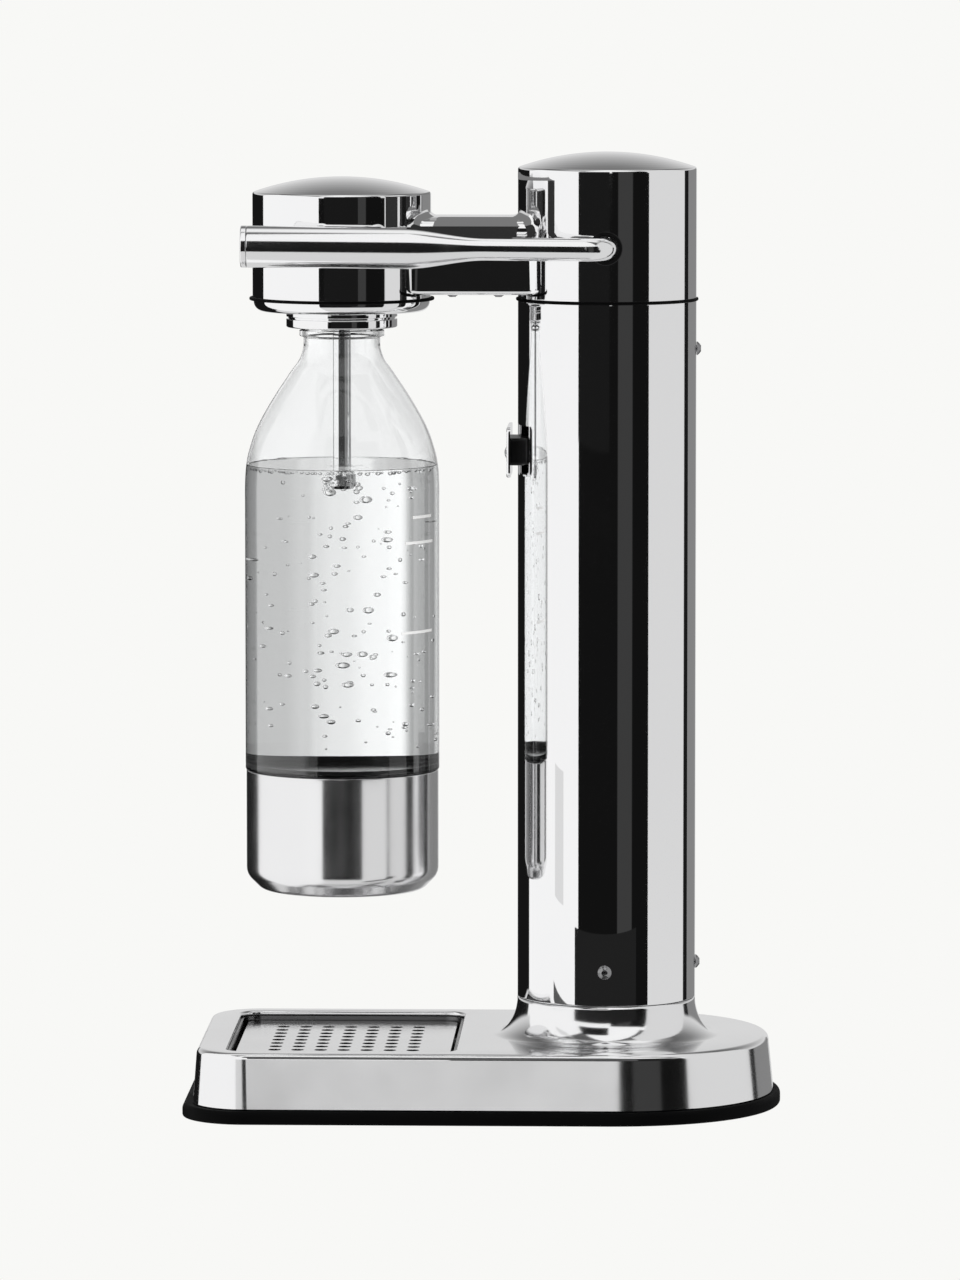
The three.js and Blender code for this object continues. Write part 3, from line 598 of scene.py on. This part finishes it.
def domed(rim, apex, bottom):
    """Outline of a cap with a rounded rim and a shallow spherical dome, as a thin shell."""
    corner = 1.3
    reach = TUBE_RADIUS - corner
    slope = 2 * math.degrees(math.atan((apex - rim) / TUBE_RADIUS))
    cap_rise = corner + reach * math.tan(math.radians(slope / 2))

    def skin(inward):
        side = arc_points(reach, apex - cap_rise, corner - inward, 0, 90 - slope, 8)
        cap_radius = side[-1][0] / math.sin(math.radians(slope))
        centre = side[-1][1] - cap_radius * math.cos(math.radians(slope))
        angles = [math.radians(slope * k / 14) for k in range(13, -1, -1)]
        dome = [(cap_radius * math.sin(a), centre + cap_radius * math.cos(a)) for a in angles]
        return [(TUBE_RADIUS - inward, bottom), *side, *dome]

    outer = skin(0)
    inner = skin(SHEET)
    return [*outer, *reversed(inner)]


def build_caps():
    """Column top and head shells."""
    caps = (("column_cap", COLUMN_Y, top_high.z), ("head_housing", HEAD_Y, top_high.z - HEAD_DROP))
    for name, y, apex in caps:
        outline = domed(apex - DOME_RISE, apex, SEAM_TOP)
        turned_piece(name, outline, y, STEEL, "root", ["top_shell"])


def build_arm():
    """Box arm between head and column, with rolled long edges and a fillet at each end."""
    half, bottom, top = 22.5, ARM_BOTTOM, ARM_TOP
    fillet = 3.5
    shoulder_z, crown_z = top - 2.4, top - 0.4
    section = rounded([(-half, bottom, 2.0), (half, bottom, 2.0), (half, shoulder_z, 4.5),
                       (12, crown_z, 30), (-12, crown_z, 30), (-half, shoulder_z, 4.5)])
    section = supported(section, least=4)
    count = len(section)
    normals = []
    for i, point in enumerate(section):
        before, after = Vector(section[i - 1]), Vector(section[(i + 1) % count])
        tangent = (after - before).normalized()
        normals.append(Vector((tangent.y, -tangent.x)))

    def wall_y(x, axis_y, sign):
        return axis_y + sign * math.sqrt(max(TUBE_RADIUS ** 2 - x * x, 1))

    loops = []
    quarter = [k / 8 for k in range(9)]
    ends = [(HEAD_Y, 1, list(reversed(quarter))), (COLUMN_Y, -1, quarter)]
    for axis_y, sign, stages in ends:
        for stage in stages:
            angle = stage * math.pi / 2
            grow, stand = fillet * (1 - math.cos(angle)), fillet * (1 - math.sin(angle))
            loop = []
            for (x, z), normal in zip(section, normals):
                # The fillet fades out towards the underside.
                share = 1 if normal.y >= 0.5 else min(1, max(0, (z - bottom) / 6))
                px, pz = x + normal.x * grow * share, z + normal.y * grow * share
                sink = 0.15 if stage == 1 else 0  # the last loop sits just inside the round wall
                loop.append((px, wall_y(px, axis_y, sign) + sign * (stand - sink), pz))
            loops.append(loop)
    verts = [p for loop in loops for p in loop]
    piece("arm_housing", verts, capped_faces(len(loops), count), STEEL, "root", ["top_shell", "arm_cover"])


def build_lower_cap():
    """Dished cap under the head, with a lip that goes up inside it."""
    bottom, top = cap_low.z, SEAM_BOTTOM
    bore, inside, lip, radius = 12, 34.5, 36, 38.2
    outline = [(bore, bottom), (radius, bottom, 4.2), (radius, top), (lip, top), (lip, top + 5),
               (inside, top + 5), (inside, bottom + 2, 2), (bore, bottom + 2)]
    turned_piece("head_dish", rounded(outline), HEAD_Y, STEEL, "root", ["head_lower_cap"])


def build_bottle_collar():
    low, high = collar_low, collar_high
    bore, radius = 19.2, (high.x - low.x) / 2
    groove, groove_radius = COLLAR_GROOVE_Z, radius - 0.9
    outline = [(bore, low.z), (radius, low.z, 0.7), (radius, groove - 0.5, 0.25),
               (groove_radius, groove - 0.3), (groove_radius, groove + 0.3),
               (radius, groove + 0.5, 0.25), (radius, high.z, 0.4), (bore, high.z)]
    turned_piece("collar_ring", rounded(outline), HEAD_Y, STEEL, "root", ["bottle_collar"])


def build_nozzle():
    """Tube that dips into the water, and its tapered tip."""
    outline = ring_section(1.5, (nozzle_high.x - nozzle_low.x) / 2, nozzle_low.z, nozzle_high.z, 0.3, 0)
    turned_piece("carbonating_tube", outline, HEAD_Y, STEEL, "root", ["nozzle_tube"],
                 SMALL_ROUND)
    tip = (tip_high.x - tip_low.x) / 2
    outline = [(0.6, tip_low.z), (tip - 1, tip_low.z, 0.3), (tip, tip_low.z + 1.4, 0.4),
               (tip, tip_high.z, 0.5), (0.6, tip_high.z)]
    turned_piece("carbonating_tip", rounded(outline), HEAD_Y, STEEL, "root", ["nozzle_tip"],
                 SMALL_ROUND)


# ---------- screws and badge ----------
def screw_outline():
    """Button head seen from the side: head above z = 0, shank below."""
    dome = arc_points(0, -1.55, 3.5, 32, 68, 5)
    return [(0, -3), (1.5, -3), (1.5, 0), (2.9, 0), (2.95, 0.15), *dome[:-1], (1.35, 1.85), (1.2, 1.8)]


def build_screw(name, node, place, direction):
    """Button head socket screw whose head stands out along a direction."""
    outline = [*screw_outline(), (1.2, 0.7), (0, 0.5)]
    size = len(outline)
    socket = size - 3  # the socket's rim, its floor's rim and the floor's middle end the outline
    segments = 36
    verts = []
    for i in range(segments):
        angle = 2 * math.pi * i / segments
        hexed = 1 / math.cos((angle % (math.pi / 3)) - math.pi / 6) * math.cos(math.pi / 6)
        for k, (r, z) in enumerate(outline):
            reach = r * hexed * 1.1 if k >= socket else r
            verts.append((reach * math.cos(angle), reach * math.sin(angle), z))
    turn = Vector((0, 0, 1)).rotation_difference(Vector(direction)).to_matrix()
    verts = [turn @ Vector(v) + Vector(place) for v in verts]
    piece(name, verts, loops_to_faces(segments, size), SCREW_STEEL, "root", [node], sharp=28)


def build_screws():
    reach = TUBE_RADIUS + 0.1
    headings = {
        "column_screw_right": (1, 0, 0),
        "column_screw_left": (-1, 0, 0),
        "column_screw_rear_low": (0, 1, 0),
        "column_screw_rear_high": (0, 1, 0),
    }
    for node, heading in headings.items():
        low, high = span(node)
        z = (low.z + high.z) / 2
        place = Vector((0, COLUMN_Y, z)) + Vector(heading) * reach
        build_screw(f"{node}_head", node, place, heading)
    for node in ("arm_screw_front", "arm_screw_rear"):
        low, high = span(node)
        build_screw(f"{node}_head", node, (0, (low.y + high.y) / 2, ARM_BOTTOM - 0.05), (0, 0, -1))


def build_badge():
    """Blank plate on the column's front, on a narrower block, with a rivet near each end."""
    face, thick = badge_low.y, 1.6
    middle = (badge_low.z + badge_high.z) / 2
    half_x, half_z = badge_high.x, (badge_high.z - badge_low.z) / 2

    def slab(inset, near, far, corner, edge):
        """Upright rounded plate between two depths, with its near edge eased."""
        wide, tall = half_x - inset, half_z - inset
        outline = rounded_rectangle((-wide, -tall), (wide, tall), corner)
        levels = [(edge, near), (0, near + edge), (0, far)]
        verts = []
        for shrink, y in levels:
            narrow, short = 1 - shrink / half_x, 1 - shrink / half_z
            verts.extend((x * narrow, y, middle + z * short) for x, z in outline)
        return verts, capped_faces(len(levels), len(outline))

    verts, faces = slab(0, face, face + thick, 2.5, 0.4)
    piece("badge_plate", verts, faces, STEEL, "root", ["front_badge"], sharp=50)
    verts, faces = slab(5, face + thick - 0.2, COLUMN_Y - TUBE_RADIUS + 3.5, 1.5, 0.1)
    piece("badge_block", verts, faces, BLACK_PLASTIC, "root", (), sharp=50)
    for side in ("left", "right"):
        node = f"badge_rivet_{side}"
        low, high = span(node)
        x = (low.x + high.x) / 2
        outline = [(0, -0.2), (2.9, -0.2), (2.9, 0.15), *arc_points(0, -3.6, 4.5, 52, 90, 6)]
        verts, faces = turned(outline, 0, SMALL_ROUND)
        verts = [(px + x, face - pz, middle + py) for px, py, pz in verts]
        piece(f"{node}_head", verts, faces, STEEL, "root", [node])


# ---------- lever ----------
def build_lever():
    """Round rod from the shaft, bent forward and swelling into the grip, with a flat end cap."""
    rod, shaft, bend = 5.0, 4.0, 9.0
    shaft_end = 28.0
    stations = [(lever_low.x, COLUMN_Y, shaft), (shaft_end, COLUMN_Y, shaft)]
    stations += [(shaft_end + 0.2, COLUMN_Y, rod), (36.0, COLUMN_Y, rod)]
    for x, y in arc_points(LEVER_X - bend, COLUMN_Y - bend, bend, 90, 0, 16):
        stations.append((x, y, rod))
    taper_start, taper_end = 2.0, -33.0
    bend_end = COLUMN_Y - bend

    def height(y):
        return LEVER_Z + LEVER_RISE * min(1, max(0, (bend_end - y) / (bend_end - LEVER_END)))

    for k in range(25):
        t = k / 24
        radius = rod + (GRIP_RADIUS - rod) * (t * t * (3 - 2 * t))
        stations.append((LEVER_X, taper_start + t * (taper_end - taper_start), radius))
    cap_joint = lever_cap_high.y
    for before_joint, eased in ((0.6, 0), (0.25, 0.05), (0.1, 0.3)):
        stations.append((LEVER_X, cap_joint + before_joint, GRIP_RADIUS - eased))
    sides = 64
    verts = []
    for k, (x, y, radius) in enumerate(stations):
        before, after = stations[max(k - 1, 0)], stations[min(k + 1, len(stations) - 1)]
        along = Vector((after[0] - before[0], after[1] - before[1], 0)).normalized()
        side = Vector((-along.y, along.x, 0))
        for i in range(sides):
            angle = 2 * math.pi * i / sides
            offset = side * math.cos(angle) * radius + Vector((0, 0, radius * math.sin(angle)))
            verts.append(Vector((x, y, height(y))) + offset)
    piece("lever_bar", verts, capped_faces(len(stations), sides), LEVER_STEEL, "lever", ["lever_rod"],
          sharp=40)

    outline = ring_section(0, GRIP_RADIUS, 0, cap_joint - LEVER_END, 0.3, 0.5)
    verts, faces = turned(supported(outline), 0, sides)
    verts = [(px + LEVER_X, cap_joint - pz, py + height(cap_joint)) for px, py, pz in verts]
    piece("lever_cap", verts, faces, LEVER_STEEL, "lever", ["lever_end_cap"])


def build_bushing():
    """Black bush round the lever's shaft; its face follows the column's curve."""
    inner, outer = 5.35, 7.3
    back = TUBE_RADIUS - 5
    face = [(inner, 0.0), (inner + 0.4, 0.45), (outer - 0.3, 0.45), (outer, 0.1)]
    section = [*face, (outer, None), (inner, None)]
    count = 64
    verts = []
    for radius, proud in section:
        for i in range(count):
            angle = 2 * math.pi * i / count
            y, z = radius * math.cos(angle), radius * math.sin(angle)
            x = back if proud is None else math.sqrt(TUBE_RADIUS ** 2 - y * y) + proud
            verts.append((x, COLUMN_Y + y, LEVER_Z + z))
    piece("lever_bush", verts, loops_to_faces(len(section), count), BLACK_PLASTIC, "root", ["lever_bushing"])


# ---------- bottle ----------
BOTTLE_RADIUS = (bottle_high.x - bottle_low.x) / 2
CUP_RADIUS = (cup_high.x - cup_low.x) / 2
CUP_TOP = 145.4
LINER_TOP = 148.6
WATER_LEVEL = 278.6
MOUTH_Z = bottle_high.z
WALL = 0.8
WAIST = CUP_RADIUS - 1.3  # radius of the bottle inside the cup
BOTTLE_FLOOR = cup_low.z + 3
DIMPLE_RADIUS = 24  # the bottle's floor rises in the middle, inside this
DIMPLE_RISE = 4
MID_Z = 200  # a height on the straight body, where the lower and upper outlines meet
TIP_REACH = 5.6  # how far from the middle the bubbles round the nozzle sit
LEVEL_MARKS = [(257.4, 49, 68), (246.4, 43, 70), (207.6, 40, 69)]  # height, and first and last angle


def shoulder(inward):
    """Bottle's outside from the body up to the neck, moved inwards."""
    points = [(BOTTLE_RADIUS, 262), (BOTTLE_RADIUS, 269), (41.7, 277.5), (40.2, 285), (36.6, 295),
              (29.9, 307), (22.3, 318.5), (18.4, 324), (16.7, 329)]
    return [(r - inward, z) for r, z in smooth_curve(points, 5)]


def build_bottle_wall():
    """Thin clear wall with a ring under the mouth."""
    neck, ring, mouth = 16.6, 18.4, 15.6
    lower = rounded([(0, BOTTLE_FLOOR + DIMPLE_RISE), (DIMPLE_RADIUS, BOTTLE_FLOOR, 6),
                     (WAIST, BOTTLE_FLOOR, 9), (WAIST, CUP_TOP + 0.3, 0.1),
                     (BOTTLE_RADIUS, CUP_TOP + 0.5, 0.3), (BOTTLE_RADIUS, MID_Z)], closed=False)
    upper = rounded([(neck, 330), (neck, 333.6, 0.3), (ring, 334.3, 0.5), (ring, 336.8, 0.5),
                     (neck, 337.4, 0.3), (neck, MOUTH_Z, 0.4), (mouth, MOUTH_Z, 0.4), (mouth, 331)],
                    closed=False)
    body, waist, floor = BOTTLE_RADIUS - WALL, WAIST - WALL, BOTTLE_FLOOR + WALL
    inside_lower = rounded([(body, MID_Z), (body, CUP_TOP + 1.4, 0.3), (waist, CUP_TOP + 1.0, 0.3),
                            (waist, floor, 8), (DIMPLE_RADIUS, floor, 6), (0, floor + DIMPLE_RISE)],
                           closed=False)
    outline = [*lower, *shoulder(0), *upper, *reversed(shoulder(WALL)), *inside_lower]
    turned_piece("bottle_wall", outline, HEAD_Y, PET, "bottle", ["bottle_shell"])


def build_water():
    """Water that reaches a little into the wall, with a narrow curve up at the surface's edge."""
    reach = WALL - 0.25
    body, waist, floor = BOTTLE_RADIUS - reach, WAIST - reach, BOTTLE_FLOOR + reach
    lower = rounded([(0, floor + DIMPLE_RISE), (DIMPLE_RADIUS, floor, 6), (waist, floor, 8),
                     (waist, CUP_TOP + 0.8, 0.2), (body, CUP_TOP + 1.2, 0.2), (body, MID_Z)], closed=False)
    side = [p for p in shoulder(reach) if p[1] < WATER_LEVEL - 0.5]
    edge = body - 0.4
    surface = [(edge, WATER_LEVEL), (edge - 0.6, WATER_LEVEL - 0.3), (0, WATER_LEVEL - 0.3)]
    turned_piece("water_fill", [*lower, *side, *surface], HEAD_Y, WATER, "bottle")


def build_liner():
    """Dark cup inside the wall that shows as a band above the steel cup."""
    gap = 0.3
    liner, waist = BOTTLE_RADIUS - WALL - gap, WAIST - WALL - gap
    outline = [(0, CUP_TOP - 1.6), (waist, CUP_TOP - 1.6), (waist, CUP_TOP + 1.4), (liner, CUP_TOP + 1.8),
               (liner, LINER_TOP, 0.3), (liner - 1.2, LINER_TOP, 0.3), (liner - 1.8, CUP_TOP), (0, CUP_TOP)]
    turned_piece("liner_band", rounded(outline), HEAD_Y, BAND_PLASTIC, "bottle", ["bottle_band"])


def build_cup():
    """Steel cup round the bottle's foot."""
    bottom, radius = cup_low.z, CUP_RADIUS
    outline = rounded([(0, bottom + 2), (DIMPLE_RADIUS, bottom + 0.8, 10), (radius - 7, bottom, 6),
                       (radius, bottom + 7, 7), (radius, CUP_TOP, 0.4), (radius - 1, CUP_TOP),
                       (radius - 1, bottom + 8, 7), (radius - 8, bottom + 1, 6),
                       (DIMPLE_RADIUS, bottom + 1.8, 10), (0, bottom + 3)])
    turned_piece("steel_cup", outline, HEAD_Y, CUP_STEEL, "bottle", ["bottle_cup"])


def build_level_marks():
    """Short raised white lines on the side of the bottle."""
    steps = 16
    section = [(-0.1, -0.6), (0.15, -0.6), (0.15, 0.6), (-0.1, 0.6)]
    for k, (z, start, end) in enumerate(LEVEL_MARKS):
        verts = []
        for i in range(steps + 1):
            angle = math.radians(start + (end - start) * i / steps)
            for out, up in section:
                reach = BOTTLE_RADIUS + out
                verts.append((reach * math.cos(angle), HEAD_Y + reach * math.sin(angle), z + up))
        piece(f"level_mark_{k + 1}", verts, capped_faces(steps + 1, len(section)), MARK, "bottle")


def build_bubbles():
    """Gas bubbles: small ones through the water, larger ones rising, some afloat and some at the tip."""
    small, rising, afloat, at_tip = 150, 40, 90, 16
    inside = BOTTLE_RADIUS - 2.5
    draw = random.Random(7)
    bm = bmesh.new()

    def bubble(reach, angle, z, radius, flat):
        """One bubble at a distance and angle from the bottle's middle, flattened by a share."""
        x, y = reach * math.cos(angle), reach * math.sin(angle)
        made = bmesh.ops.create_icosphere(bm, subdivisions=3, radius=radius * MM)
        for vert in made["verts"]:
            vert.co.z *= flat
            vert.co += Vector((x, HEAD_Y + y, z)) * MM

    for _ in range(small):
        radius = draw.uniform(0.35, 1.1)
        angle = draw.uniform(0, 2 * math.pi)
        reach = draw.uniform(0.55, 0.955) * inside
        z = draw.uniform(156, WATER_LEVEL - 6)
        bubble(reach, angle, z, radius, draw.uniform(0.7, 0.95))
    for _ in range(rising):
        radius = draw.uniform(0.8, 2.1)
        angle = draw.uniform(0, 2 * math.pi)
        z = draw.uniform(165, WATER_LEVEL - 5)
        reach = draw.uniform(5.5, 12 + (WATER_LEVEL - z) * 0.12)
        bubble(reach, angle, z, radius, draw.uniform(0.55, 0.8))
    surface = WATER_LEVEL - 0.7
    for _ in range(afloat):
        radius = draw.uniform(0.4, 1.2)
        angle = draw.uniform(-1.3, 1.5)
        reach = draw.uniform(0.80, 0.985) * inside
        bubble(reach, angle, surface - radius, radius, 0.8)
    for _ in range(at_tip):
        radius = draw.uniform(0.6, 1.3)
        angle = draw.uniform(0, 2 * math.pi)
        z = draw.uniform(tip_low.z - 1, tip_low.z + 5)
        bubble(TIP_REACH, angle, z, radius, 0.9)
    obj = finished(bpy.data.meshes.new("bubbles"), bm, BUBBLE)
    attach(obj, "bottle")


# ---------- studio ----------
PALE = (0.939, 0.939, 0.922)
SIDE_BLUR = 0.8  # degrees over which a panel's side edge fades, to either side
END_BLUR = 1.0
# Panels round the object: azimuth from and to (0 = +X, 90 = +Y), elevation from and to, and grey.
PANELS = [
    (-180, 180, 12, 95, 0.97),
    (-119, -33, -95, 95, 0.97),
    (50, 120, -95, 30, 0.72),
    (-60, 60, -24, -1.2, 0.006),
    (-12, -5, -24, 14, 0.006),
    (7, 54.5, -24, 34, 0.006),
    (15, 34, -24, 34, 0.045),
    (120, 131, -40, 40, 0.01),
    (131, 168, -40, 14, 0.24),
    (-170, -119, -40, 24, 0.008),
    (-180, -33, 42, 95, 0.10),
    (50, 180, 42, 95, 0.10),
]
LOW_FRONT = 0.70  # grey near the horizon where no panel stands
# Greys from the horizon behind the object up to overhead: elevation and grey.
BEHIND = [(0, 0.80), (8, 0.72), (18, 0.55), (27, 0.38), (36, 0.22), (48, 0.12), (56, 0.3), (66, 0.9),
          (90, 0.97)]
# What is seen through the bottle and water: azimuth and grey, pale behind and darker at the sides.
THROUGH = [(-180, 0.98), (-176, 1.0), (-170, 1.14), (-157, 1.2), (-152, 0.52), (-143, 0.34), (-128, 0.34),
           (-120, 1.1), (-46, 1.1), (-38, 0.05), (34, 0.05), (42, 0.24), (115, 0.24), (125, 0.30),
           (141, 0.34), (145, 0.50), (164, 0.54), (172, 0.68), (176, 0.90), (180, 0.98)]


def build_world():
    """Pale backdrop for the camera, panels for reflections, and a soft surround seen through clear pieces."""
    world = bpy.data.worlds.new("studio")
    bpy.context.scene.world = world
    world.use_nodes = True
    nodes, links = world.node_tree.nodes, world.node_tree.links
    background = nodes["Background"]
    coordinates = nodes.new("ShaderNodeTexCoord")
    split = nodes.new("ShaderNodeSeparateXYZ")
    links.new(coordinates.outputs["Generated"], split.inputs[0])

    def calculate(operation, a, b=None):
        node = nodes.new("ShaderNodeMath")
        node.operation = operation
        for socket, value in zip(node.inputs, (a, b)):
            if value is None:
                continue
            if isinstance(value, (int, float)):
                socket.default_value = value
            else:
                links.new(value, socket)
        return node.outputs[0]

    def step(value, edge, soft):
        node = nodes.new("ShaderNodeMapRange")
        node.interpolation_type = "SMOOTHSTEP"
        node.inputs["From Min"].default_value = edge - soft
        node.inputs["From Max"].default_value = edge + soft
        links.new(value, node.inputs["Value"])
        return node.outputs["Result"]

    def mixed(factor, a, b):
        node = nodes.new("ShaderNodeMix")
        node.data_type = "RGBA"
        links.new(factor, node.inputs["Factor"])
        for name, colour in (("A", a), ("B", b)):
            if isinstance(colour, tuple):
                node.inputs[name].default_value = (*colour, 1)
            else:
                links.new(colour, node.inputs[name])
        return node.outputs["Result"]

    azimuth = calculate("DEGREES", calculate("ARCTAN2", split.outputs["Y"], split.outputs["X"]))
    elevation = calculate("DEGREES", calculate("ARCSINE", split.outputs["Z"]))

    reflected = (LOW_FRONT, LOW_FRONT, LOW_FRONT)
    for az_from, az_to, el_from, el_to, grey in PANELS:
        mask = calculate("SUBTRACT", step(elevation, el_from, END_BLUR), step(elevation, el_to, END_BLUR))
        if az_to - az_from < 360:
            wide = calculate("SUBTRACT", step(azimuth, az_from, SIDE_BLUR), step(azimuth, az_to, SIDE_BLUR))
            mask = calculate("MULTIPLY", wide, mask)
        reflected = mixed(mask, reflected, (grey, grey, grey))

    def ramp(value, greys):
        """Greys joined by straight blends along an angle."""
        first, last = greys[0][0], greys[-1][0]
        node = nodes.new("ShaderNodeValToRGB")
        share = calculate("DIVIDE", calculate("SUBTRACT", value, float(first)), float(last - first))
        links.new(share, node.inputs["Fac"])
        stops = node.color_ramp.elements
        while len(stops) < len(greys):
            stops.new(0.5)
        for stop, (angle, grey) in zip(stops, greys):
            stop.position = (angle - first) / (last - first)
            stop.color = (grey, grey, grey, 1)
        return node.outputs["Color"]

    away = calculate("MULTIPLY", split.outputs["X"], -1.0)
    behind = calculate("MULTIPLY", step(away, 0.0, 0.12), step(elevation, 7.0, 3.0))
    path = nodes.new("ShaderNodeLightPath")
    reflected = mixed(behind, reflected, ramp(elevation, BEHIND))
    colour = mixed(path.outputs["Is Transmission Ray"], reflected, ramp(azimuth, THROUGH))
    plain = calculate("MAXIMUM", path.outputs["Is Camera Ray"], path.outputs["Is Diffuse Ray"])
    links.new(mixed(plain, colour, PALE), background.inputs["Color"])


# Boards near the object that only reflections see: name, three corners of a parallelogram and grey (mm).
BOARDS = [
    ("white_board", (561, -336, -600), (-188, -469, -600), (561, -336, 800), 0.96),
    ("grey_board", (205, 329, -600), (-100, 330, -600), (205, 329, 800), 0.72),
    ("dark_flag", (330, -174, 265), (330, 75, 265), (330, -174, 560), 0.01),
    ("collar_flag", (100, -14, 33.5), (100, 120, 33.5), (100, -14, 70), 0.015),
    ("cup_card", (60, -42, 84), (60, -4, 84), (60, -42, 143), 0.74),
    ("cup_card_left", (60, -94, 84), (60, -76, 84), (60, -94, 143), 0.97),
    ("deck_card", (76, -100, 29.5), (76, 70, 29.5), (76, -100, 38), 0.1),
    ("arm_card_front", (38, -32, 377), (38, 13, 377), (38, -32, 402), 0.03),
    ("arm_card_top", (38, -21, 402), (38, 13, 402), (-70, -21, 402), 0.2),
]


def glowing(name, colour):
    """Material that gives off one even colour."""
    material = bpy.data.materials.new(name)
    material.use_nodes = True
    nodes, links = material.node_tree.nodes, material.node_tree.links
    nodes.remove(nodes["Principled BSDF"])
    glow = nodes.new("ShaderNodeEmission")
    glow.inputs["Color"].default_value = (*colour, 1)
    links.new(glow.outputs[0], nodes["Material Output"].inputs["Surface"])
    return material


def flat_piece(name, corners, material):
    """One flat face with four corners."""
    mesh = bpy.data.meshes.new(name)
    mesh.from_pydata([Vector(corner) * MM for corner in corners], [], [(0, 1, 2, 3)])
    obj = bpy.data.objects.new(name, mesh)
    bpy.context.scene.collection.objects.link(obj)
    mesh.materials.append(material)
    return obj


def build_boards():
    """Glowing or dark boards that polished steel reflects and the camera does not see."""
    for name, corner, along, across, grey in BOARDS:
        a, b, d = Vector(corner), Vector(along), Vector(across)
        board = flat_piece(name, (a, b, b + d - a, d), glowing(name, (grey, grey, grey)))
        for ray in ("camera", "diffuse", "transmission", "shadow", "volume_scatter"):
            setattr(board, f"visible_{ray}", False)


def build_floor():
    """Plain pale floor that the object stands on, evenly bright and without shadows."""
    half = 3000
    corners = [(-half, -half, 0), (half, -half, 0), (half, half, 0), (-half, half, 0)]
    floor = flat_piece("studio_floor", corners, glowing("pale_floor", PALE))
    floor.visible_glossy = False
    floor.visible_transmission = False


def build_lights():
    """Two soft lights, placed in metres, for the matte pieces; polished steel reflects the panels instead."""
    lights = (("key", (1.2, -1.0, 1.4), 14, 0.9), ("fill", (0.6, 1.6, 1.0), 8, 0.9))
    for name, place, power, size in lights:
        lamp = bpy.data.lights.new(name, "AREA")
        lamp.energy = power
        lamp.size = size
        obj = bpy.data.objects.new(name, lamp)
        obj.location = place
        aim = Vector((0, 0, 0.2)) - Vector(place)
        obj.rotation_mode = "QUATERNION"
        obj.rotation_quaternion = aim.to_track_quat("-Z", "Y")
        obj.visible_camera = False
        obj.visible_glossy = False
        obj.visible_transmission = False
        bpy.context.scene.collection.objects.link(obj)


def build_camera():
    """Long lens at the object's side, slightly towards the rear and above."""
    azimuth, elevation, distance = math.radians(91.92), math.radians(5.53), 3633.0
    target = Vector((0, -2.1, 201.8))
    level = math.cos(elevation)
    back = Vector((math.sin(azimuth) * level, -math.cos(azimuth) * level, math.sin(elevation)))
    camera = bpy.data.objects.new("camera", bpy.data.cameras.new("camera"))
    camera.data.sensor_width = 36
    camera.data.lens = 235
    camera.data.clip_end = 100
    camera.location = (target + back * distance) * MM
    camera.rotation_mode = "QUATERNION"
    camera.rotation_quaternion = (-back).to_track_quat("-Z", "Y")
    bpy.context.scene.collection.objects.link(camera)
    bpy.context.scene.camera = camera
    bpy.context.scene.view_settings.view_transform = "Standard"


dress_cad_nodes()
build_foot()
build_base_shell()
build_pan()
build_grille()
build_column_tube()
build_gaskets()
build_caps()
build_arm()
build_lower_cap()
build_bottle_collar()
build_nozzle()
build_screws()
build_badge()
build_lever()
build_bushing()
build_bottle_wall()
build_water()
build_liner()
build_cup()
build_level_marks()
build_bubbles()
build_world()
build_floor()
build_boards()
build_lights()
build_camera()
